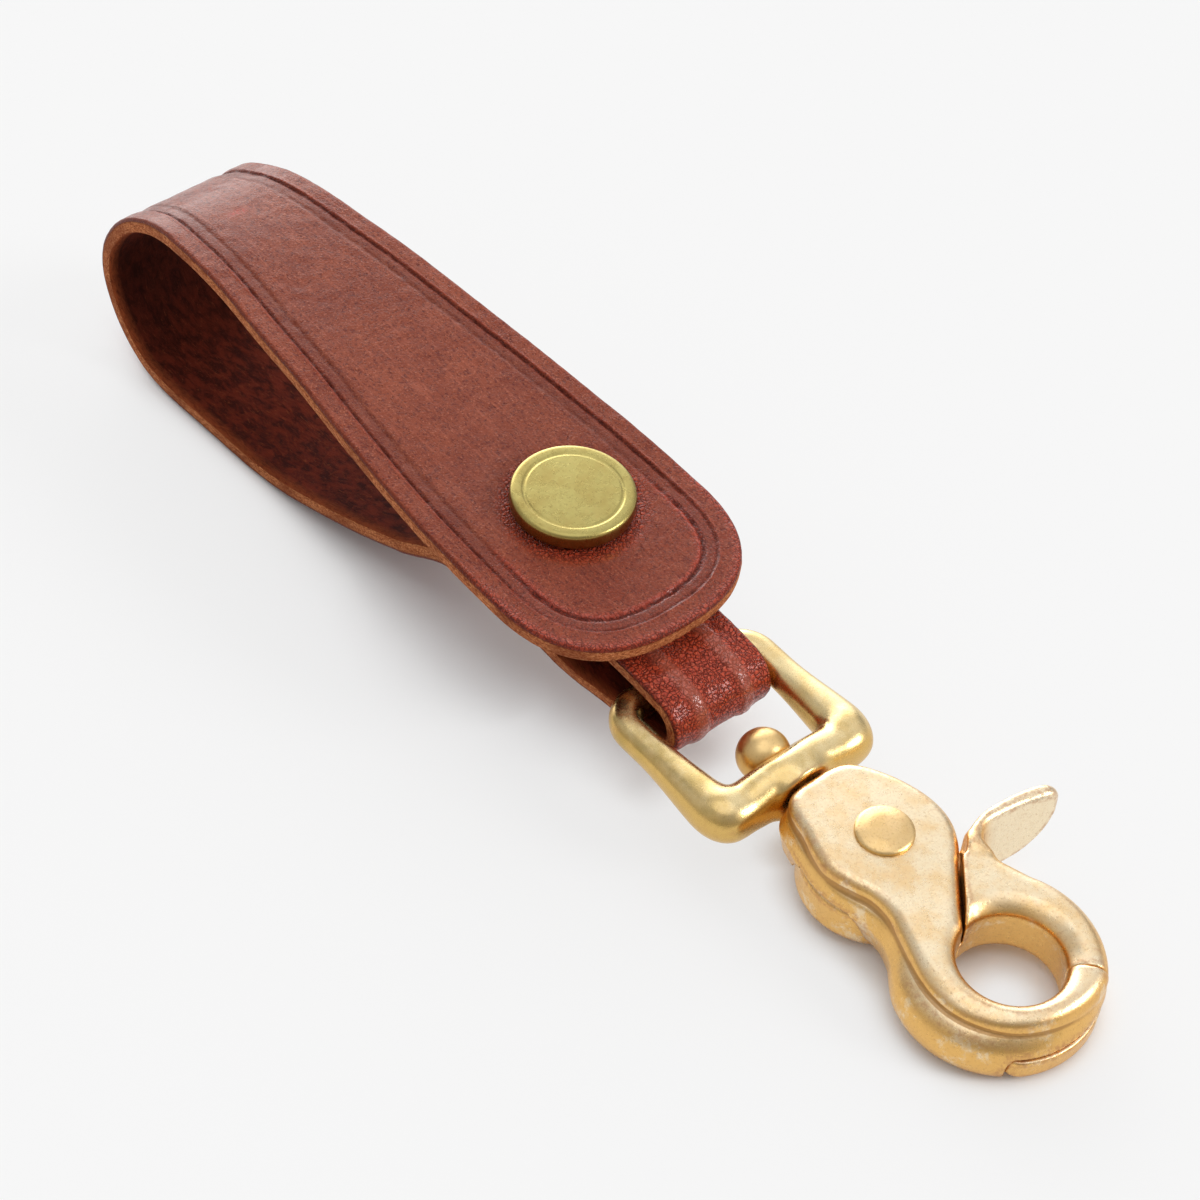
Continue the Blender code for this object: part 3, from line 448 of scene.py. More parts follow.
def brass(
    name, deep, pale, dark, roughness, speckle,
    facing=(0.25, 0.95), patina=0.0, mottled=0.0, scratches=0.0,
):
    """Cast or turned brass: deep gold, darker in its hollows, and paler where it faces up, a painted
    highlight, and on worn and mottled patches.
    """
    s = Shader(name)
    at = s.add("TexCoord", output="Object")
    upward = s.add("SeparateXYZ", {0: s.add("TexCoord", output="Normal")}, output="Z")
    curve = s.attribute("curve")
    cloud = s.noise(at, 210.0, 5.0, 0.65)
    speck = s.noise(at, 3000.0, 4.0, 0.75)
    blot = s.noise(at, 1300.0, 4.0, 0.75)
    pit = s.ramp(s.cells(at, 1700.0, "F1"), 0.05, 0.3, 1.0, 0.0)
    hollow = s.ramp(curve, -0.55, -0.05, 1.0, 0.0)
    ridge = s.ramp(curve, 0.25, 0.85)
    # Paler where it faces up: a painted highlight, broken up by a cloud; the worn thumb tab and mottled
    # patches are paler too.
    highlight_and_wear = s.times(s.ramp(upward, *facing), s.ramp(cloud, 0.32, 0.62, 0.45, 1.0))
    highlight_and_wear = s.math("MAXIMUM", highlight_and_wear, s.attribute("worn"))
    highlight_and_wear = s.math("MAXIMUM", highlight_and_wear, s.ramp(s.noise(at, 170.0, 5.0, 0.7), 0.53, 0.64, 0.0, mottled))
    tone = s.mix(highlight_and_wear, deep, pale)
    tone = s.stain(tone, s.noise(at, 130.0, 4.0, 0.6), 0.5, 0.68, patina, OLIVE)
    tone = s.stain(tone, speck, 0.54, 0.72, speckle, dark)
    tone = s.stain(tone, blot, 0.55, 0.75, speckle * 0.7, TARNISH)
    tone = s.tint(tone, pit, speckle * 0.6, dark)
    tone = s.tint(tone, ridge, s.ramp(blot, 0.4, 0.6, 0.0, 0.5), TARNISH)
    tone = s.tint(tone, hollow, 0.8, dark)
    rough = s.ramp(blot, 0.3, 0.7, roughness * 0.8, roughness * 1.2)
    rough = s.math("ADD", rough, s.times(hollow, 0.12))
    grit = s.math("SUBTRACT", speck, s.times(pit, 0.6))
    if scratches:
        line = s.ramp(s.noise(s.stretched(at, (900.0, 9000.0, 900.0)), 1.0), 0.56, 0.7)
        crossed = s.ramp(s.noise(s.stretched(at, (7000.0, 1100.0, 900.0)), 1.0), 0.6, 0.72)
        line = s.math("MAXIMUM", line, crossed)
        tone = s.tint(tone, line, scratches, pale)
        grit = s.math("SUBTRACT", grit, line)
    s.set(Base_Color=tone, Metallic=1.0, Roughness=rough, Normal=s.bump(grit, 0.00005, speckle))
    return s.material


def spring_steel():
    s = Shader("spring_steel")
    at = s.add("TexCoord", output="Object")
    drawn = s.noise(s.stretched(at, (400.0, 400.0, 4000.0)), 1.0, 4.0)
    s.set(Base_Color=s.mix(drawn, (0.42, 0.42, 0.43), (0.62, 0.62, 0.63)), Metallic=1.0, Roughness=0.3)
    return s.material


MATERIALS = {
    "grain": grain_leather(),
    "edge": cut_edge(),
    "flesh": flesh_leather(),
    "cap": brass(
        "aged_brass", deep=(0.36, 0.25, 0.07), pale=(0.465, 0.395, 0.138), dark=(0.18, 0.11, 0.03),
        roughness=0.3, speckle=0.16, scratches=0.4,
    ),
    "ring": brass(
        "ring_brass", deep=(0.72, 0.47, 0.15), pale=(0.86, 0.69, 0.38), dark=(0.46, 0.28, 0.09),
        roughness=0.27, speckle=0.2, facing=(0.4, 0.98), patina=0.55,
    ),
    "ball": brass(
        "ball_brass", deep=(0.74, 0.44, 0.14), pale=(0.84, 0.6, 0.28), dark=(0.3, 0.15, 0.04),
        roughness=0.35, speckle=0.25,
    ),
    "hook": brass(
        "hook_brass", deep=(0.84, 0.5, 0.16), pale=(0.95, 0.8, 0.56), dark=(0.44, 0.23, 0.08),
        roughness=0.31, speckle=0.42, facing=(0.5, 0.985), mottled=0.65,
    ),
    "rivet": brass(
        "rivet_brass", deep=(0.76, 0.5, 0.19), pale=(0.86, 0.61, 0.31), dark=(0.34, 0.19, 0.06),
        roughness=0.32, speckle=0.45,
    ),
    "steel": spring_steel(),
}


def dress(obj, finish, body, replaced, slot):
    """Gives a piece its material, attaches it to the body it moves with and hides the part it replaces.
    """
    obj.data.materials.append(MATERIALS[finish])
    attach(obj, body)
    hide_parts(replaced)


# Strap


def turned_by(pitch, along, depth):
    """A point this far along and below a plane that is pitched down towards +X."""
    return np.array((
        along * math.cos(pitch) - depth * math.sin(pitch),
        -along * math.sin(pitch) - depth * math.cos(pitch),
    ))


def stud_point(along, depth):
    base = turned_by(FLAP_PITCH, 0.0, CAP_HEIGHT + LEATHER + SNAP_GAP)
    return base + turned_by(STUD_PITCH, along, depth)


def loop_point(shares):
    back, height = shares
    return np.array((-back * LOOP_REACH, -FLOOR_DROP + height * (FLOOR_DROP + LOOP_TOP)))


def strap_points():
    """The grain side in the XZ plane, from the tail's end round the ring and the loop to the tip."""
    under = LEATHER + LAYER_GAP + LEATHER
    flat = STUD_FLANGE + FLAT_MARGIN
    ends = (-flat, -STUD_FLANGE, STUD_FLANGE, flat)
    points = [stud_point(-TAIL_LENGTH, 0.0)]
    points += [stud_point(along, 0.0) for along in ends]
    radius = WIRE + WRAP_GAP + LEATHER
    centre = np.array((BAR[0] + WRAP_AHEAD, BAR[2] - WRAP_DROP))
    for angle in np.radians(np.linspace(*WRAP_ANGLES, 13)):
        points.append(centre + radius * np.array((math.cos(angle), math.sin(angle))))
    points += [np.array((x * BAR[0], z * (centre[1] - radius))) for x, z in UNDER_BAR_SHARES]
    points += [stud_point(along, under) for along in reversed(ends)]
    points += [loop_point(s) for s in LOOP_SHARES]
    for along in (-SNAP_FLAT - LEATHER, -SNAP_FLAT, SNAP_FLAT, FLAP_TIP):
        points.append(turned_by(FLAP_PITCH, along, CAP_HEIGHT))
    return np.array(points)


def smooth_line(points, spacing):
    """A smooth curve through 2-D points, sampled about every spacing."""
    chords = np.hypot(*np.diff(points, axis=0).T)
    slopes = np.diff(points, axis=0) / chords[:, None]
    inner = (slopes[:-1] * chords[1:, None] + slopes[1:] * chords[:-1, None])
    inner /= (chords[:-1] + chords[1:])[:, None]
    tangents = np.vstack([slopes[:1], inner, slopes[-1:]])
    line = []
    for i, chord in enumerate(chords):
        count = max(1, round(chord / spacing))
        t = (np.arange(count) / count)[:, None]
        line.append(
            points[i] * (2 * t**3 - 3 * t**2 + 1) + tangents[i] * chord * (t**3 - 2 * t**2 + t)
            + points[i + 1] * (3 * t**2 - 2 * t**3) + tangents[i + 1] * chord * (t**3 - t**2)
        )
    return np.vstack(line + [points[-1:]])


def read_table(table, values):
    """Reading of ((value, result), ...), whose values fall."""
    rows = np.array(table)[::-1]
    return np.interp(values, rows[:, 0], rows[:, 1])


def softened(values, reach):
    """A running mean, which keeps the ends."""
    padded = np.pad(values, reach, mode="edge")
    kernel = np.hanning(2 * reach + 1)
    return np.convolve(padded, kernel / kernel.sum(), mode="valid")


class StrapPath:
    """The grain side as a function of the distance along the strap from the tail's end."""

    def __init__(self):
        self.points = smooth_line(strap_points(), PATH_STEP)
        steps = np.hypot(*np.diff(self.points, axis=0).T)
        self.along = np.concatenate([[0.0], np.cumsum(steps)])
        tangent = np.gradient(self.points, axis=0)
        tangent = np.stack([softened(tangent[:, i], 4) for i in (0, 1)], 1)
        self.tangent = tangent / np.hypot(*tangent.T)[:, None]
        x, z = self.points.T
        back = -x / LOOP_REACH
        width = STRAP_HALF_WIDTH * read_table(STRAP_WIDTH_SHARES, back)
        shoulder = width + (TAB_HALF_WIDTH - width) * ease(x, *SHOULDER)
        forward = self.tangent[:, 0] > 0
        half = np.where(forward, FLAP_HALF_WIDTH * read_table(FLAP_WIDTH_SHARES, back), shoulder)
        middle = np.argmin(x)
        before = np.arange(len(x)) < middle
        half = np.where(before & (forward | (x > BAR[0])), TAB_HALF_WIDTH, half)
        self.half = softened(half, 15)
        rising = np.flatnonzero((np.arange(len(x)) > middle) & (z > SEAM_HEIGHT))
        self.seam = self.along[rising[0]]
        self.tip_start = np.interp(FLAP_TIP - FLAP_TIP_LENGTH, x[middle:], self.along[middle:])
        self.length = self.along[-1]
        nose = np.argmax(x * (self.along < self.length / 2))
        self.tab_end = self.along[nose] + TAB_PAST_NOSE

    def read(self, values, along):
        return np.interp(along, self.along, values)

    def place(self, along, across, depth):
        """3-D points for places on the strap; depth is measured from the grain side inwards."""
        x, z, tx, tz = (self.read(row, along) for row in (*self.points.T, *self.tangent.T))
        size = np.hypot(tx, tz)
        return np.stack([x + tz / size * depth, across - STRAP_OFFSET, z - tx / size * depth], -1)


def side_steps():
    """Distances from the edge at which the grain side has its columns."""
    edge = EDGE_ROUND * (1 - np.cos(np.linspace(0, np.pi / 2, 6)))
    return np.concatenate([edge, np.arange(0.8, 2.2, 0.35), np.arange(2.25, INNER_GROOVE + 0.9, 0.11)])


def crease_lines(distance):
    """The crease's sharp line, the lip beside it, its soft line and the band between, each 0 to 1."""
    outer = hump(distance, OUTER_GROOVE, 0.25)
    lip = hump(distance - OUTER_GROOVE, -0.34, 0.2)
    inner = hump(distance, INNER_GROOVE, 0.34)
    band = hump(distance, (OUTER_GROOVE + INNER_GROOVE) / 2, 0.85, 4)
    return outer, lip, inner, band


wave = ripple(4, 9, 7.0, 24.0)
crinkle = ripple(8, 12, 1.6, 4.5)


class Grain:
    """The grain side: how deep each place on it lies, and what its material is told."""

    def __init__(self, path, along, across, distance):
        self.path, self.along, self.across, self.distance = path, along, across, distance
        self.on_tab = 1 - ease(along, path.tab_end - 4.0, path.tab_end + 6.0)
        self.on_flap = along > path.seam
        self.near_tip = self.on_flap * ease(along, path.tip_start - 9.0, path.tip_start + 3.0)
        self.near_bend = hump(along, path.seam, BEND_SHINE)
        spot = path.place(along, across, 0.0)
        self.x, self.y = spot[..., 0], spot[..., 1]
        self.from_cap = np.hypot(self.x / math.cos(FLAP_PITCH), self.y)
        self.tab_ridge = hump(distance, TAB_BAND, TAB_BAND_HALF, 4)
        self.lines = crease_lines(distance)

    def creases(self):
        """The border's depth: two lines on the flap that open into one valley round the bend."""
        outer, lip, inner, band = self.lines
        from_outer = self.distance - OUTER_GROOVE
        pressed = 0.25 * outer * (1 - 0.4 * self.near_tip) - 0.08 * lip
        pressed = pressed + (0.12 + 0.14 * self.near_tip) * inner
        pressed = pressed * (1 + 0.35 * crinkle(self.along * 1.3, self.across)) + 0.09 * band
        valley = 0.42 * hump(from_outer, 0.3, 0.8)
        ridges = 0.07 * hump(from_outer, 1.7, 0.6) + 0.06 * hump(from_outer, -1.1, 0.5)
        return pressed * (1 - 0.45 * self.near_bend) + (valley - ridges) * self.near_bend

    def depth(self):
        swell = hump(self.distance, TAB_BAND, TAB_BAND_HALF * 1.6)
        tab = 0.24 - 0.18 * self.tab_ridge - 0.16 * swell
        depth = self.creases() * (1 - self.on_tab) + tab * self.on_tab
        inside = EDGE_ROUND**2 - np.clip(EDGE_ROUND - self.distance, 0, EDGE_ROUND) ** 2
        round_off = EDGE_ROUND - np.sqrt(np.clip(inside, 0, None))
        depth += SKIN_INSET + round_off + 0.035 * wave(self.along, self.across)
        depth += 0.02 * crinkle(self.along, self.across) * (1 + self.on_tab)
        dished = 1 - ease(self.from_cap, CAP_RADIUS - 1.0, CAP_RADIUS + 3.2)
        return depth + 0.3 * self.on_flap * dished

    def marks(self):
        """Where the leather is pebbled, creased, scuffed, shiny, raised or dark, each 0 to 1. The crease
        marks carry painted shade in the lines and a painted highlight on their lips, and the raised bands
        get a painted highlight.
        """
        distance, near_tip, on_tab = self.distance, self.near_tip, self.on_tab
        outer, lip, inner, band = self.lines
        flat = 1 - on_tab
        pucker = self.on_flap * (1 - ease(self.from_cap, CAP_RADIUS + 0.1, CAP_RADIUS + 2.6))
        pebble = 0.88 * pucker + (0.3 + 0.15 * near_tip) * hump(distance, OUTER_GROOVE, 0.5)
        pebble += near_tip * hump(distance - INNER_GROOVE, 0.1, 0.6)
        pebble += (0.15 + 0.85 * near_tip) * hump(distance, 0.0, 0.9) + 0.12 * near_tip
        pebble = np.clip(np.maximum(pebble, on_tab), 0, 1)
        shine = flat * (0.14 + 0.62 * self.near_bend + 0.9 * pebble * near_tip) * (1 - 0.8 * pucker)
        shine += on_tab * (0.4 + 0.6 * self.tab_ridge)
        start, full = self.path.tip_start - 28.0, self.path.tip_start - 4.0
        # The grain also darkens towards the tip, carried in the burnish mark.
        darker_to_tip = 0.24 * self.on_flap * ease(self.along, start, full)
        # Dark crease lines, partly pressed in and partly painted shade; near the tip the shade moves to
        # the inner line.
        groove = outer * (1 - 0.35 * near_tip) + inner * (0.35 + 0.65 * near_tip)
        # Near the tip the inner line's wall takes the painted highlight.
        inner_lip = near_tip * hump(distance - INNER_GROOVE, 0.32, 0.26)
        scuff = hump(self.x, SCUFF[0], SCUFF_SIZE[0]) * hump(self.y, SCUFF[1], SCUFF_SIZE[1])
        return {
            "pebble": pebble,
            "groove": np.clip(groove, 0, 1) * flat,
            "lip": (0.18 * lip * (1 - near_tip) + inner_lip) * flat,
            "sunk": band * flat,
            "scuff": self.on_flap * scuff,
            "shine": shine,
            "raised": self.tab_ridge * on_tab,
            "burnish": np.clip(hump(distance, 0.0, 0.22) + darker_to_tip, 0, 1),
        }


def strip(along, across, depth, marks, backwards=False):
    """Columns of a skin: their places on the strap, and the marks for their material."""
    places = np.stack(np.broadcast_arrays(along, across, depth), -1)
    turn = slice(None, None, -1 if backwards else 1)
    marks = {key: np.broadcast_to(mark, places.shape[:2])[:, turn] for key, mark in marks.items()}
    return places[:, turn], marks


class Skin:
    """A closed piece of the strap, in rows of places round its grain, edges and flesh side."""

    def __init__(self, path, rows, half, inward=None):
        self.path, self.rows = path, rows
        self.half = np.clip(half - EDGE_INSET, 0, None)
        if inward is None:
            slope = np.gradient(self.half) / np.maximum(np.gradient(rows), 1e-9)
            inward = np.stack([slope, np.ones(len(rows))], 1) / np.hypot(1.0, slope)[:, None]
        self.inward = inward

    def columns(self, steps, filling):
        """Places along and across at these steps from both edges and between, and their distance in."""
        left = [self.rows[:, None] + self.inward[:, :1] * steps,
                -self.half[:, None] + self.inward[:, 1:] * steps]
        right = [left[0][:, ::-1], -left[1][:, ::-1]]
        shares = np.linspace(0, 1, filling)[1:-1]
        filled = [left[i][:, -1:] * (1 - shares) + right[i][:, :1] * shares for i in (0, 1)]
        reach = np.minimum(shares, 1 - shares) * 2 * np.abs(left[1][:, -1:])
        border = np.tile(steps, (len(self.rows), 1))
        along, across = (np.hstack([left[i], filled[i], right[i]]) for i in (0, 1))
        return along, across, np.hstack([border, steps[-1] + reach, border[:, ::-1]])

    def grain(self):
        along, across, distance = self.columns(side_steps(), 30)
        grain = Grain(self.path, along, across, distance)
        return strip(along, across, grain.depth(), grain.marks())

    def walls(self):
        """The raw edges on the right, going down, and on the left, coming up."""
        steps = np.linspace(0, 1, 8)[1:-1]
        depth = EDGE_ROUND + (LEATHER - BACK_ROUND - EDGE_ROUND) * steps
        bulge = 0.07 * np.sin(np.pi * steps) + 0.02 * crinkle(self.rows[:, None] * 2.0, depth * 3.0)
        along = self.rows[:, None] - self.inward[:, :1] * bulge
        across = self.half[:, None] + self.inward[:, 1:] * bulge
        dye = {"burnish": hump(depth, EDGE_ROUND, 0.2)}
        return strip(along, across, depth, dye), strip(along, -across, depth, dye, backwards=True)

    def flesh(self):
        along, across, distance = self.columns(np.array([0.0, 0.12, 0.45, 1.5, 3.2, 5.0]), 14)
        depth = LEATHER - BACK_ROUND * hump(distance, 0.0, 0.22) + 0.02 * crinkle(along, across)
        # deep marks where painted shade darkens the flesh inside the loop, near the bend.
        marks = {"deep": hump(along - self.path.seam, -10.0, 20.0), "rim": hump(distance, 0.0, 0.8)}
        return strip(along, across, depth, marks, backwards=True)

    def build(self, name, close_tip=False):
        right, left = self.walls()
        strips = [self.grain(), right, self.flesh(), left]
        places = np.concatenate([at for at, marks in strips], axis=1)
        count = places.shape[1]
        column = np.arange(count)
        following = (column + 1) % count
        start = count * np.arange(len(self.rows) - 1)[:, None]
        corners = (start + column, start + count + column, start + count + following, start + following)
        points = self.path.place(*np.moveaxis(places, -1, 0))
        faces = np.stack(corners, -1).reshape(-1, 4)
        obj = new_mesh(name, points.reshape(-1, 3), faces.tolist())
        owner = np.repeat((0, 1, 2, 1), [at.shape[1] for at, marks in strips])
        kind = np.where(owner == owner[following], owner, 1)
        obj.data.polygons.foreach_set("material_index", np.tile(kind, len(start)).astype(np.int32))
        store(obj, "strap_place", places.reshape(-1, 3), "FLOAT_VECTOR")
        for key in sorted({key for at, marks in strips for key in marks}):
            values = [marks.get(key, np.zeros(at.shape[:2])) for at, marks in strips]
            store(obj, key, np.concatenate(values, axis=1))
        close_ends(obj, count, close_tip)
        for finish in ("grain", "edge", "flesh"):
            obj.data.materials.append(MATERIALS[finish])
        return obj


def close_ends(obj, count, close_tip):
    """Caps the first row, and the last one too or, at the flap's tip, joins its halves."""
    shaped = bmesh.new()
    shaped.from_mesh(obj.data)
    shaped.verts.ensure_lookup_table()
    last = [shaped.verts[k] for k in range(len(shaped.verts) - count, len(shaped.verts))]
    caps = [shaped.faces.new(shaped.verts[:count])]
    if close_tip:
        bmesh.ops.remove_doubles(shaped, verts=last, dist=0.02 * MM)
    else:
        caps.append(shaped.faces.new(last[::-1]))
    for cap in caps:
        cap.material_index = 1
        for edge in cap.edges:
            edge.smooth = False
    bmesh.ops.triangulate(shaped, faces=[f for f in shaped.faces if len(f.verts) > 4])
    bmesh.ops.recalc_face_normals(shaped, faces=shaped.faces)
    shaped.to_mesh(obj.data)
    shaped.free()
    obj.data.shade_smooth()


def tip_outline(path):
    """Rows along the flap with their half widths and the directions in from the edge, round the tip."""
    straight = np.arange(path.seam, path.tip_start - 0.1, 0.35)
    swing = np.linspace(0, np.pi / 2, 150)
    power = 2 / TIP_ROUNDNESS
    rounded = path.tip_start + (path.length - path.tip_start) * np.sin(swing) ** power
    width = path.read(path.half, path.tip_start) * np.cos(swing) ** power
    width[-1] = 0.0
    rows = np.concatenate([straight, rounded])
    half = np.concatenate([path.read(path.half, straight), width])
    tangent = np.gradient(np.stack([rows, half], 1), axis=0)
    tangent /= np.hypot(*tangent.T)[:, None]
    inward = tangent[:, ::-1].copy()
    inward[-1] = (-1.0, 0.0)
    return rows, half, inward


def make_strap():
    path = StrapPath()
    near = np.arange(0.0, path.tab_end, 0.22)
    far = np.arange(path.tab_end, path.seam, 0.45)
    rows = np.concatenate([near, far, [path.seam]])
    lower = Skin(path, rows, path.read(path.half, rows)).build("strap_lower_skin")
    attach(lower, "strap")
    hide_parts("strap_lower")
    flap = Skin(path, *tip_outline(path)).build("strap_flap_skin", close_tip=True)
    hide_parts("strap_flap")
    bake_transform(flap)


# Brass shapes, drawn as distance fields in the ring's frame


class Grid:
    """A block of sample points with +X towards the hook's nose."""

    def __init__(self, low, high, step):
        self.low = np.array(low, float)
        self.step = step
        axes = [np.arange(a, b + step, step) for a, b in zip(low, high)]
        self.x, self.y, self.z = np.meshgrid(*axes, indexing="ij", sparse=True)

    def read(self, values, points):
        """The values at these points, blended between the eight samples round each."""
        spot = (points - self.low) / self.step
        cell = np.clip(spot.astype(int), 0, np.array(values.shape) - 2)
        share = spot - cell
        total = 0.0
        for corner in CORNERS:
            weight = np.where(corner, share, 1 - share).prod(axis=1)
            total = total + weight * values[tuple((cell + corner).T)]
        return total


CORNERS = [(i, j, k) for i in (0, 1) for j in (0, 1) for k in (0, 1)]


def closed_curve(points, spacing):
    """A smooth closed curve through the points."""
    points = np.array(points, float)
    line = smooth_line(np.vstack([points[-2:], points, points[:3]]), spacing)
    half = len(line) // 2
    gap = np.hypot(*(line - points[0]).T)
    return line[np.argmin(gap[:half]):half + np.argmin(gap[half:])]


def outline_distance(x, y, points):
    """Signed distance to a closed outline, negative inside."""
    nearest = np.full(np.broadcast_shapes(x.shape, y.shape), 1e9)
    inside = np.zeros(nearest.shape, bool)
    for (ax, ay), (bx, by) in zip(points, np.roll(points, -1, axis=0)):
        ex, ey = bx - ax, by - ay
        t = np.clip(((x - ax) * ex + (y - ay) * ey) / (ex * ex + ey * ey + 1e-12), 0, 1)
        nearest = np.minimum(nearest, (x - ax - t * ex) ** 2 + (y - ay - t * ey) ** 2)
        if ay != by:
            inside ^= ((ay > y) != (by > y)) & (x < (bx - ax) * (y - ay) / (by - ay) + ax)
    return np.where(inside, -1, 1) * np.sqrt(nearest)


def soft_min(a, b, reach):
    share = np.clip(0.5 + 0.5 * (b - a) / reach, 0, 1)
    return b + (a - b) * share - reach * share * (1 - share)


def soft_max(a, b, reach):
    return -soft_min(-a, -b, reach)


def slab(flat, z, low, high, edge):
    """The outline raised from low to high, with its edges rounded."""
    middle, half = (low + high) / 2, (high - low) / 2
    out = flat + edge
    up = np.abs(z - middle) - half + edge
    return np.minimum(np.maximum(out, up), 0) + np.hypot(np.maximum(out, 0), np.maximum(up, 0)) - edge


def surface_net(field, low, step):
    """Points and quads where the field crosses zero, with one point in each crossed cell."""
    inside = field < 0
    size = np.array(field.shape) - 1
    blocks = [inside[i:size[0] + i, j:size[1] + j, k:size[2] + k] for i, j, k in CORNERS]
    count = np.sum(blocks, axis=0, dtype=np.int8)
    cells = np.argwhere((count > 0) & (count < 8))
    index = np.full(size, -1, np.int64)
    index[tuple(cells.T)] = np.arange(len(cells))
    values = {c: field[tuple((cells + c).T)] for c in CORNERS}
    total = np.zeros((len(cells), 3))
    hits = np.zeros(len(cells))
    for start in CORNERS:
        for axis in range(3):
            if start[axis]:
                continue
            end = tuple(1 if i == axis else start[i] for i in range(3))
            a, b = values[start], values[end]
            crossed = (a < 0) != (b < 0)
            total += crossed[:, None] * start
            total[:, axis] += crossed * a / np.where(crossed, a - b, 1.0)
            hits += crossed
    points = low + step * (cells + total / hits[:, None])
    quads = []
    unit = np.eye(3, dtype=int)
    for axis in range(3):
        u, v = unit[(axis + 1) % 3], unit[(axis + 2) % 3]
        near = np.moveaxis(inside, axis, 0)
        edges = np.argwhere(near[:-1] != near[1:])
        leaves = near[tuple(edges.T)]
        full = np.insert(edges[:, 1:], axis, edges[:, 0], axis=1)
        quad = np.stack([index[tuple(cell.T)] for cell in (full - u - v, full - v, full, full - u)], 1)
        quad[~leaves] = quad[~leaves][:, ::-1]
        quads.append(quad)
    return points, np.vstack(quads)


def blurred(values, reach):
    for axis in range(3):
        total = values.copy()
        for shift in range(1, reach + 1):
            total += np.roll(values, shift, axis) + np.roll(values, -shift, axis)
        values = total / (2 * reach + 1)
    return values


def evened(points, quads):
    """The points, each moved most of the way to the middle of its neighbours."""
    total = np.zeros_like(points)
    links = np.zeros(len(points))
    for a, b in zip(quads.T, np.roll(quads, -1, axis=1).T):
        for here, there in ((a, b), (b, a)):
            np.add.at(total, here, points[there])
            np.add.at(links, here, 1)
    return 0.4 * points + 0.6 * total / links[:, None]


def cast_piece(name, grid, field, finish, *binding):
    """The field's surface as a mesh, evened out, with its hollows and ridges stored."""
    field = np.ascontiguousarray(field, np.float32)
    points, quads = surface_net(field, grid.low, grid.step)
    slopes = np.gradient(field, grid.step)
    for _ in range(4):
        points = evened(points, quads)
        slope = np.stack([grid.read(s, points) for s in slopes], 1)
        steepness = np.maximum((slope**2).sum(1), 0.05)
        points -= slope * (grid.read(field, points) / steepness)[:, None] * 0.9
    curve = grid.read(blurred(field, 3) - field, points) * 9.0
    obj = new_mesh(name, place(points, RING_MATRIX), quads.tolist())
    store(obj, "curve", np.clip(curve, -1, 1))
    store(obj, "worn", ease(points[:, 0], 36.0, 37.0) * ease(points[:, 1], 10.0, 13.0))
    dress(obj, finish, *binding)


RING_MATRIX = Matrix.Translation(BAR) @ Matrix.Rotation(HOOK_PITCH, 4, "Y")


def arc(centre, radius, first, last, steps):
    """Points round a centre between two angles in degrees."""
    angles = np.radians(np.linspace(first, last, steps + 1))
    return np.stack([centre[0] + radius * np.cos(angles), centre[1] + radius * np.sin(angles)], 1)


def ring_path():
    side = RING_INNER + WIRE
    corners = (
        (FRONT_BAR, -side, FRONT_CORNER, -90.0), (FRONT_BAR, side, FRONT_CORNER, 0.0),
        (0.0, side, REAR_CORNER, 90.0), (0.0, -side, REAR_CORNER, 180.0),
    )
    path = []
    for x, y, radius, first in corners:
        centre = (x - math.copysign(radius, x - FRONT_BAR / 2), y - math.copysign(radius, y))
        path.append(arc(centre, radius, first, first + 90.0, 14))
    return np.vstack(path)


def make_ring():
    """The ring: round rails that widen into a broad, slightly saddled front bar."""
    grid = Grid((-3.4, -14.2, -5.2), (23.4, 14.2, 5.2), RING_STEP)
    x, y, z = grid.x, grid.y, grid.z
    along = np.abs(outline_distance(x, y, ring_path()))
    half = WIRE + (FRONT_BAR_HALF - WIRE) * ease(x, FRONT_BAR / 3, FRONT_BAR)
    middle = 1 - ease(np.abs(y), 2.0, 9.0)
    height = half + (BOSS_HALF_HEIGHT - 0.3 - half) * middle * ease(x, 12.0, 18.5)
    power = RING_SQUARENESS
    ring = (((along / half) ** power + (np.abs(z) / height) ** power) ** (1 / power) - 1) * half
    corner_x, corner_y, corner_radius = RING_CORNERS
    for side in (-corner_y, corner_y):
        corner = np.sqrt(((x - corner_x) / 1.1) ** 2 + (y - side) ** 2 + (z * 1.05) ** 2)
        ring = soft_min(ring, corner - corner_radius, 1.2)
    from_axis = np.hypot(y, z)
    collar = soft_max(from_axis - BOSS_HALF_HEIGHT + 0.1, 18.6 - x, 1.2)
    ring = soft_min(ring, collar, 1.2)
    seat = np.sqrt((x - BALL_AHEAD) ** 2 + y**2 + z**2) - BALL_RADIUS - SEAT_ROOM
    ring = soft_max(ring, -seat, 0.25)
    bore = np.maximum(from_axis - PIN_RADIUS - BORE_ROOM, BALL_AHEAD - x)
    ring = soft_max(ring, -bore, 0.15)
    ring = soft_max(ring, x - NECK, 0.6)
    cast_piece("ring_casting", grid, ring, "ring", "ring", "swivel_ring", "ring_brass")


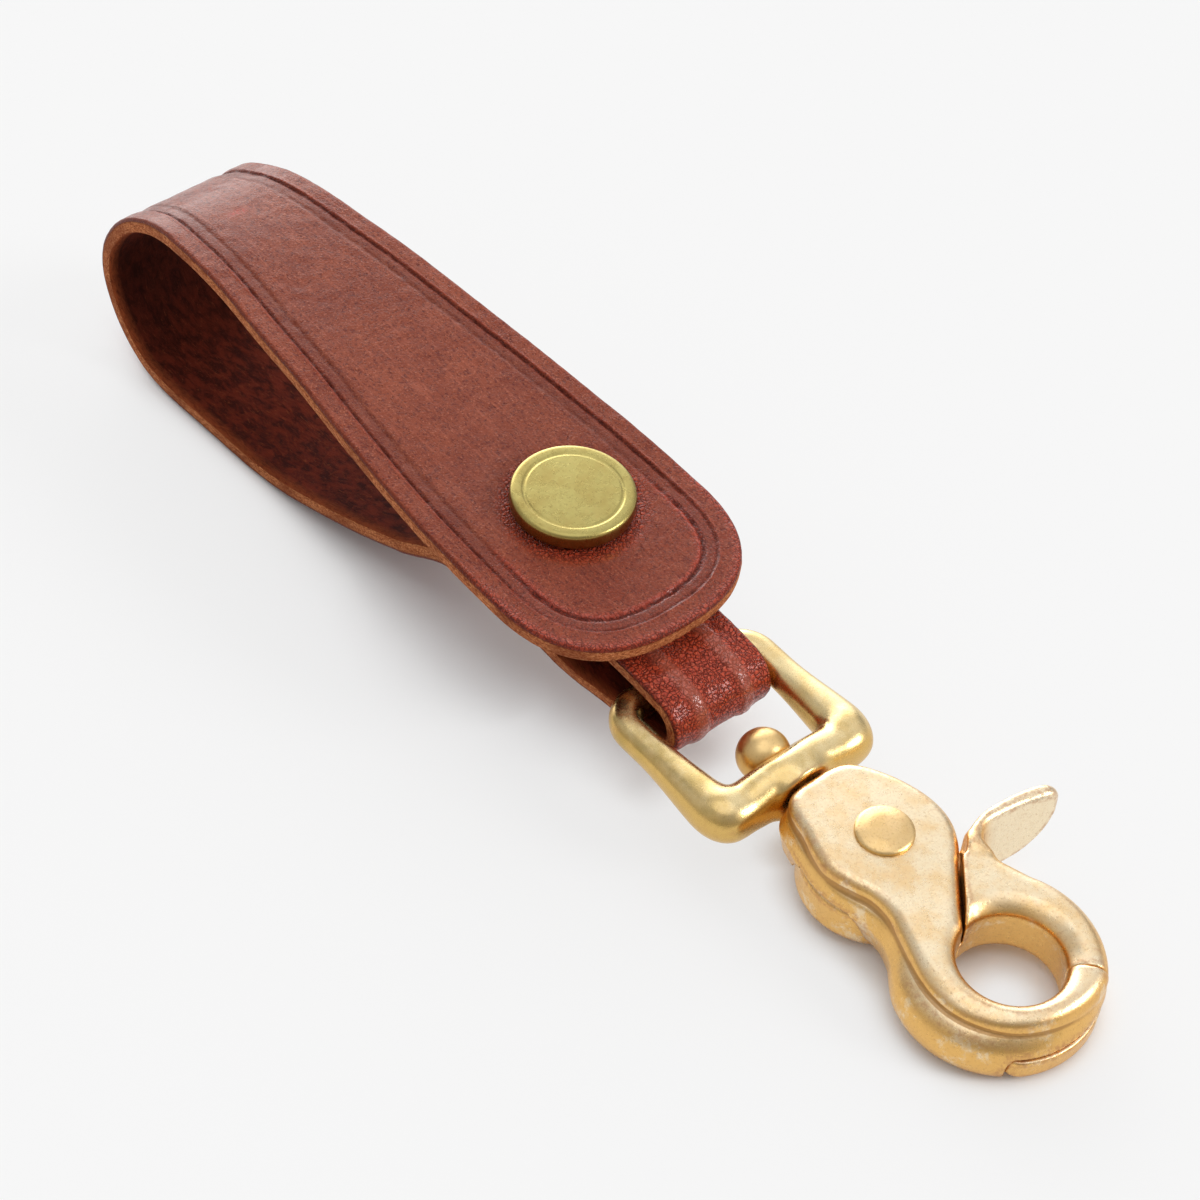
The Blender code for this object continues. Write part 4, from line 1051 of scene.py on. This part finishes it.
# Outlines of the hook seen from above, in the ring's frame
FAR_WALL = (
    (22.4, -1.6), (22.5, -3.2), (22.9, -4.6), (23.9, -5.7), (26.2, -6.6), (29.0, -7.5), (32.4, -8.25),
    (35.6, -8.15), (38.2, -7.5), (40.2, -7.1), (42.2, -7.2), (44.3, -8.0), (46.3, -9.45),
    (48.13, -10.6), (50.3, -11.34),
)
NEAR_WALL = (
    (41.2, 5.6), (40.2, 6.7), (39.1, 7.6), (37.5, 8.6), (35.2, 9.3), (32.4, 9.35), (29.6, 8.75),
    (26.5, 7.5), (24.3, 6.1), (23.1, 4.8), (22.6, 3.4), (22.4, 1.8),
)
UPPER_FAR = (
    (22.4, -1.6), (22.6, -2.9), (23.1, -4.0), (24.2, -4.8), (28.1, -6.1), (30.5, -7.0), (32.8, -7.5),
    (35.0, -7.2), (36.9, -6.6), (39.1, -5.9), (41.6, -5.9), (44.2, -6.8), (47.6, -8.0), (51.0, -8.7),
    (54.3, -8.8), (57.8, -7.7), (60.9, -5.6), (63.0, -2.3), (63.9, 1.5), (63.7, 4.9), (62.7, 7.6),
    (61.5, 9.1), (60.4, 10.0),
)
FIN = (
    (42.6, 9.2), (40.9, 9.6), (39.9, 10.8), (39.6, 12.2), (39.8, 14.2), (40.5, 17.8), (41.2, 20.2),
    (41.3, 21.1), (41.0, 21.8), (40.4, 22.15), (39.8, 21.8), (39.2, 20.4), (38.4, 17.4), (38.1, 15.0),
    (38.0, 12.8), (38.3, 10.9), (39.1, 9.0), (40.8, 7.8),
)


def body_outlines():
    """The body's wall and its raised plate, which share the eye and the near wall."""
    shared = [arc(EYE, EYE_RADIUS, *EYE_SPAN, 44), smooth_line(np.array(NEAR_WALL), 0.6)]
    wall = [smooth_line(np.array(FAR_WALL), 0.6), arc(JAW, JAW_RADIUS, -104.0, 54.0, 42)]
    plate = [smooth_line(np.array(UPPER_FAR), 0.5)]
    return np.vstack(wall + shared), np.vstack(plate + shared)


def lever_outline():
    """The lever seen from above: the eye, the moving jaw, the thumb tab's root and the hub."""
    within = HUB_RADIUS - 0.8
    hub_end = 360.0 + math.degrees(math.asin((WEB_SIDE - RIVET[1]) / within))
    return np.vstack([
        arc(EYE, EYE_RADIUS, -164.0, -415.0, 50),
        arc(JAW, JAW_RADIUS, -55.0, 118.0, 60),
        np.array(((44.0, 9.7), (42.0, 9.6), (40.0, 9.8), (39.0, 9.6))),
        arc(RIVET, within, 58.0, hub_end, 60),
    ])


def domed_slab(flat, z, low, high, bottom_edge, top_edge):
    """A slab whose upper edge is rounded more than its lower one."""
    under = slab(flat, z, low, high + 9.0, bottom_edge)
    over = slab(flat, z, low - 9.0, high, top_edge)
    return np.maximum(under, over)


class Hook(Grid):
    """The hook's two castings, as fields that share their outlines and the gaps between them."""

    def __init__(self):
        super().__init__((21.6, -13.0, -6.6), (66.2, 23.4, 4.9), HOOK_STEP)
        x, y, z = self.x, self.y, self.z
        wall, plate = body_outlines()
        self.wall = outline_distance(x, y, wall)
        self.plate = outline_distance(x, y, plate)
        self.eye = np.hypot(x - EYE[0], y - EYE[1]) - EYE_RADIUS
        self.from_rivet = np.hypot(x - RIVET[0], y - RIVET[1])
        self.hub = self.from_rivet - HUB_RADIUS
        self.past_nose = (y - JAW[1]) * math.cos(NOSE_END) - (x - JAW[0]) * math.sin(NOSE_END)
        self.at_nose = (x > JAW[0]) & (y > JAW[1])
        beyond = (x - JAW[0]) * math.sin(FINGER_END) - (y - JAW[1]) * math.cos(FINGER_END)
        from_middle = (z + (HALF_THICKNESS - SPLIT) / 2) / ((HALF_THICKNESS + SPLIT) / 2)
        beyond = beyond + 0.9 * np.clip(np.abs(from_middle), 0, 1.2) ** 2.5
        flat = outline_distance(x, y, lever_outline())
        on_finger = (x > JAW[0]) & (y < JAW[1] + 3.0)
        self.lever_flat = np.where(on_finger, soft_max(flat, beyond, 2.2), flat)

    def body_wall(self, jaw_share):
        """The lower wall, drafted on both sides along the shank and rounded along the jaw."""
        z = self.z
        plate_inset = 0.38 * np.clip(z - SPLIT, 0, None) + 0.25 * np.clip(SPLIT - z, 0, None)
        rise = np.clip((z - JAW_MIDDLE_HEIGHT) / 3.9, 0, 0.995)
        fall = np.clip((JAW_MIDDLE_HEIGHT - z) / 2.1, 0, 0.995)
        jaw_inset = 3.0 * (1 - np.sqrt(1 - rise**2)) + 1.2 * (1 - np.sqrt(1 - fall**2))
        lower = (self.wall + plate_inset + (jaw_inset - plate_inset) * jaw_share) * 0.85
        lower = soft_max(lower, z - (WALL_TOP + 0.8 * jaw_share), 1.0)
        return soft_max(lower, -HALF_THICKNESS - z, 0.5)

    def body(self):
        x, y, z = self.x, self.y, self.z
        jaw_share = ease(x, *JAW_START)
        crown = HALF_THICKNESS - 0.16 * ease(self.from_rivet, 3.0, 10.0) * (1 - jaw_share)
        height = z + HALF_THICKNESS - crown
        top = domed_slab(self.plate, height, -HALF_THICKNESS, HALF_THICKNESS, 0.6, 1.45 + 0.5 * jaw_share)
        body = soft_min(top, self.body_wall(jaw_share), 0.5 + 0.7 * jaw_share)
        seam = hump(self.plate, 0.2, 0.35) * hump(z, 2.0, 0.55)
        body = body + 0.22 * seam * (1 - jaw_share) * (y < 2.0)
        body = np.where(self.at_nose, soft_max(body, self.past_nose, 0.35), body)
        room = np.maximum(np.minimum(self.lever_flat, self.hub) - 0.25, z - SPLIT)
        body = soft_max(body, -room, 0.3)
        return soft_max(body, -self.eye, 0.4)

    def thumb_tab(self):
        """A curved blade that leans forward below its top, with a lower edge that rises round its tip."""
        x, y, z = self.x, self.y, self.z
        top = HALF_THICKNESS + 0.1 - 1.1 * np.clip((y - 20.0) / 2.2, 0, 1) ** 2
        leaning = outline_distance(x - FIN_LEAN * (HALF_THICKNESS - z), y, closed_curve(FIN, 0.7))
        foot = -5.2 + 0.5 * ease(y, 12.0, 17.0) + 7.4 * np.clip((y - 15.6) / 7.0, 0, 1) ** 2.0
        return soft_max(slab(leaning, z, -12.0, top, 0.85), foot - z, 0.9)

    def lever(self):
        z = self.z
        crown = z - HALF_THICKNESS + 1.7 * np.clip(1 - self.eye / 3.0, 0, 1) ** 2
        main = domed_slab(self.lever_flat, z, -HALF_THICKNESS, HALF_THICKNESS, 1.2, 2.2)
        main = soft_max(main, crown, 0.4)
        main = soft_min(main, slab(self.hub, z, -HUB_DROP, SPLIT - PART_GAP, 0.9), 0.3)
        lever = soft_min(main, self.thumb_tab(), 1.1)
        above = SPLIT - LEVER_ROOM - z
        over = np.maximum(np.minimum(self.wall, self.plate) - PART_GAP, above)
        over = np.where(self.at_nose, np.maximum(over, self.past_nose - NOSE_GAP), over)
        lever = soft_max(lever, -over, 0.25)
        under_plate = np.where(self.x < 41.0, np.maximum(self.hub - 0.2, above), 9.0)
        lever = soft_max(lever, -under_plate, 0.3)
        return soft_max(lever, -self.eye, 0.4)


def make_hook():
    hook = Hook()
    cast_piece("hook_casting", hook, hook.body(), "hook", "hook", "hook_body", "hook_brass")
    cast_piece("lever_casting", hook, hook.lever(), "hook", "lever", "lever", "hook_brass")


def make_cap():
    """The snap's cap: a flat face with one plain pressed ring, and a rounded bright rim."""
    under = -CAP_HEIGHT + 0.05
    rim = CAP_RADIUS + 0.12
    curl = -CAP_HEIGHT - LEATHER - 0.6
    corners = (
        (0.0, -0.03, 0), (5.75, -0.02, 0.12), (5.9, -0.1, 0.08), (6.15, -0.1, 0.08),
        (6.3, 0.0, 0.12), (rim, 0.0, 0.75), (rim, under, 0.45), (2.0, under, 0), (2.0, curl, 0),
        (2.3, curl, 0.1), (2.3, curl - 0.25, 0.1), (1.5, curl - 0.25, 0), (1.5, curl + 1.5, 0),
        (0.0, curl + 1.5, 0),
    )
    matrix = Matrix.Rotation(FLAP_PITCH, 4, "Y")
    dress(lathe("cap_shell", corners, 128, matrix), "cap", "flap", "snap_cap", "aged_brass")


def make_pin():
    end = math.pi - math.asin(PIN_RADIUS / BALL_RADIUS)
    corners = [(0.0, BALL_AHEAD - BALL_RADIUS, 0)]
    for angle in end * np.arange(1, BALL_STEPS + 1) / BALL_STEPS:
        corners.append((BALL_RADIUS * math.sin(angle), BALL_AHEAD - BALL_RADIUS * math.cos(angle), 0))
    corners += [(PIN_RADIUS, PIN_REACH, 0), (0.0, PIN_REACH, 0)]
    matrix = RING_MATRIX @ Matrix.Rotation(math.radians(90.0), 4, "Y")
    dress(lathe("ball_pin", corners, 64, matrix), "ball", "hook", "swivel_pin", "ring_brass")


def make_rivet():
    seat = HALF_THICKNESS + 0.03
    head, foot, shank = RIVET_HEAD_RADIUS, FOOT_RADIUS, SHANK_RADIUS
    under = -HUB_DROP - 0.1
    corners = (
        (0.0, seat + RIVET_HEAD, 0), (head * 0.55, seat + RIVET_HEAD * 0.92, 0.5),
        (head * 0.93, seat + RIVET_HEAD * 0.55, 0.25), (head, seat + RIVET_HEAD * 0.3, 0.12),
        (head, seat, 0), (shank, seat, 0), (shank, under, 0), (foot, under, 0),
        (foot, under - 0.35, 0.2), (foot * 0.85, under - 0.5, 0.2), (0.0, under - 0.5, 0),
    )
    matrix = RING_MATRIX @ Matrix.Translation((*RIVET, 0.0))
    dress(lathe("rivet_turned", corners, 96, matrix), "rivet", "hook", "pivot_rivet", "hook_brass")


def dress_inner_nodes():
    """The pieces inside the snap and the hook keep their own solids."""
    finishes = {
        "snap_socket": "cap", "snap_stud": "cap", "snap_post": "cap",
        "socket_spring": "steel", "lever_spring": "steel",
    }
    for name, finish in finishes.items():
        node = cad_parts[name]
        node.data.materials.clear()
        node.data.materials.append(MATERIALS[finish])
        node.data.shade_smooth()
        node.data.set_sharp_from_angle(angle=math.radians(34.0))


# Stage, lights and camera


def floor_material():
    """White paper that glows a little where it is seen, which keeps its shadows soft and light, and whose
    glow fades near the object in a painted contact shadow.
    """
    material = bpy.data.materials.new("floor_paper")
    material.use_nodes = True
    material.node_tree.nodes.clear()
    n = Nodes(material.node_tree)
    seen = n.add("LightPath", output="Is Camera Ray")
    for ray in ("Is Glossy Ray", "Is Transmission Ray"):
        seen = n.math("MAXIMUM", seen, n.add("LightPath", output=ray))
    along = n.add("SeparateXYZ", {0: n.add("TexCoord", output="Object")}, output="X")
    # The glow fades where ambient occlusion finds the object near, over a longer reach under the strap
    # than under the hook: a painted contact shadow.
    reach = n.ramp(along, -0.01, 0.04, 0.024, 0.006)
    open_sky = n.add("AmbientOcclusion", {"Distance": reach}, output="AO", samples=8)
    share = n.times(seen, n.ramp(open_sky, 0.42, 0.86, 0.0, FLOOR_GLOW))
    paper = n.add("BsdfDiffuse", {"Color": PAPER})
    glow = n.add("Emission", {"Color": PAPER_GLOW, "Strength": 1.0})
    both = n.add("MixShader", {0: share, 1: paper, 2: glow})
    n.add("OutputMaterial", {"Surface": both})
    return material


def make_floor():
    size = 3.0
    mesh = bpy.data.meshes.new("floor")
    corners = [(-size, -size), (size, -size), (size, size), (-size, size)]
    mesh.from_pydata([(x, y, (-FLOOR_DROP - 0.1) * MM) for x, y in corners], [], [(0, 1, 2, 3)])
    mesh.materials.append(floor_material())
    add_object("floor", mesh)


def make_world():
    """A pale room with a bright ceiling and back wall, darker on the camera's side."""
    world = bpy.data.worlds.new("studio")
    bpy.context.scene.world = world
    world.use_nodes = True
    world.node_tree.nodes.clear()
    n = Nodes(world.node_tree)
    direction = n.add("TexCoord", output="Generated")
    total = ROOM_LIGHT
    for towards, low, high, strength in ROOM_PATCHES:
        axis = tuple(c / math.hypot(*towards) for c in towards)
        near = n.add("VectorMath", {0: direction, 1: axis}, output="Value", operation="DOT_PRODUCT")
        total = n.math("ADD", n.ramp(near, low, high, 0.0, strength), total)
    n.add("OutputWorld", {"Surface": n.add("Background", {"Strength": total})})


def make_sun(name, towards, strength, spread):
    light = bpy.data.lights.new(name, "SUN")
    light.energy = strength
    light.angle = math.radians(spread)
    add_object(name, light).rotation_euler = Vector(towards).to_track_quat("-Z", "Y").to_euler()


def make_camera():
    camera = add_object("camera", bpy.data.cameras.new("camera"))
    camera.data.lens = 90.0
    camera.data.sensor_width = 36.0
    camera.data.clip_start = 0.01
    right = Vector(CAMERA_RIGHT).normalized()
    back = Vector(CAMERA_BACK).normalized()
    turn = Matrix((right, back.cross(right), back)).transposed()
    camera.matrix_world = Matrix.Translation(CAMERA_PLACE) @ turn.to_4x4()
    bpy.context.scene.camera = camera


make_camera()
make_strap()
make_cap()
make_ring()
make_pin()
make_hook()
make_rivet()
dress_inner_nodes()
make_floor()
make_world()
for sun in SUNS:
    make_sun(*sun)
bpy.context.scene.view_settings.view_transform = "Standard"
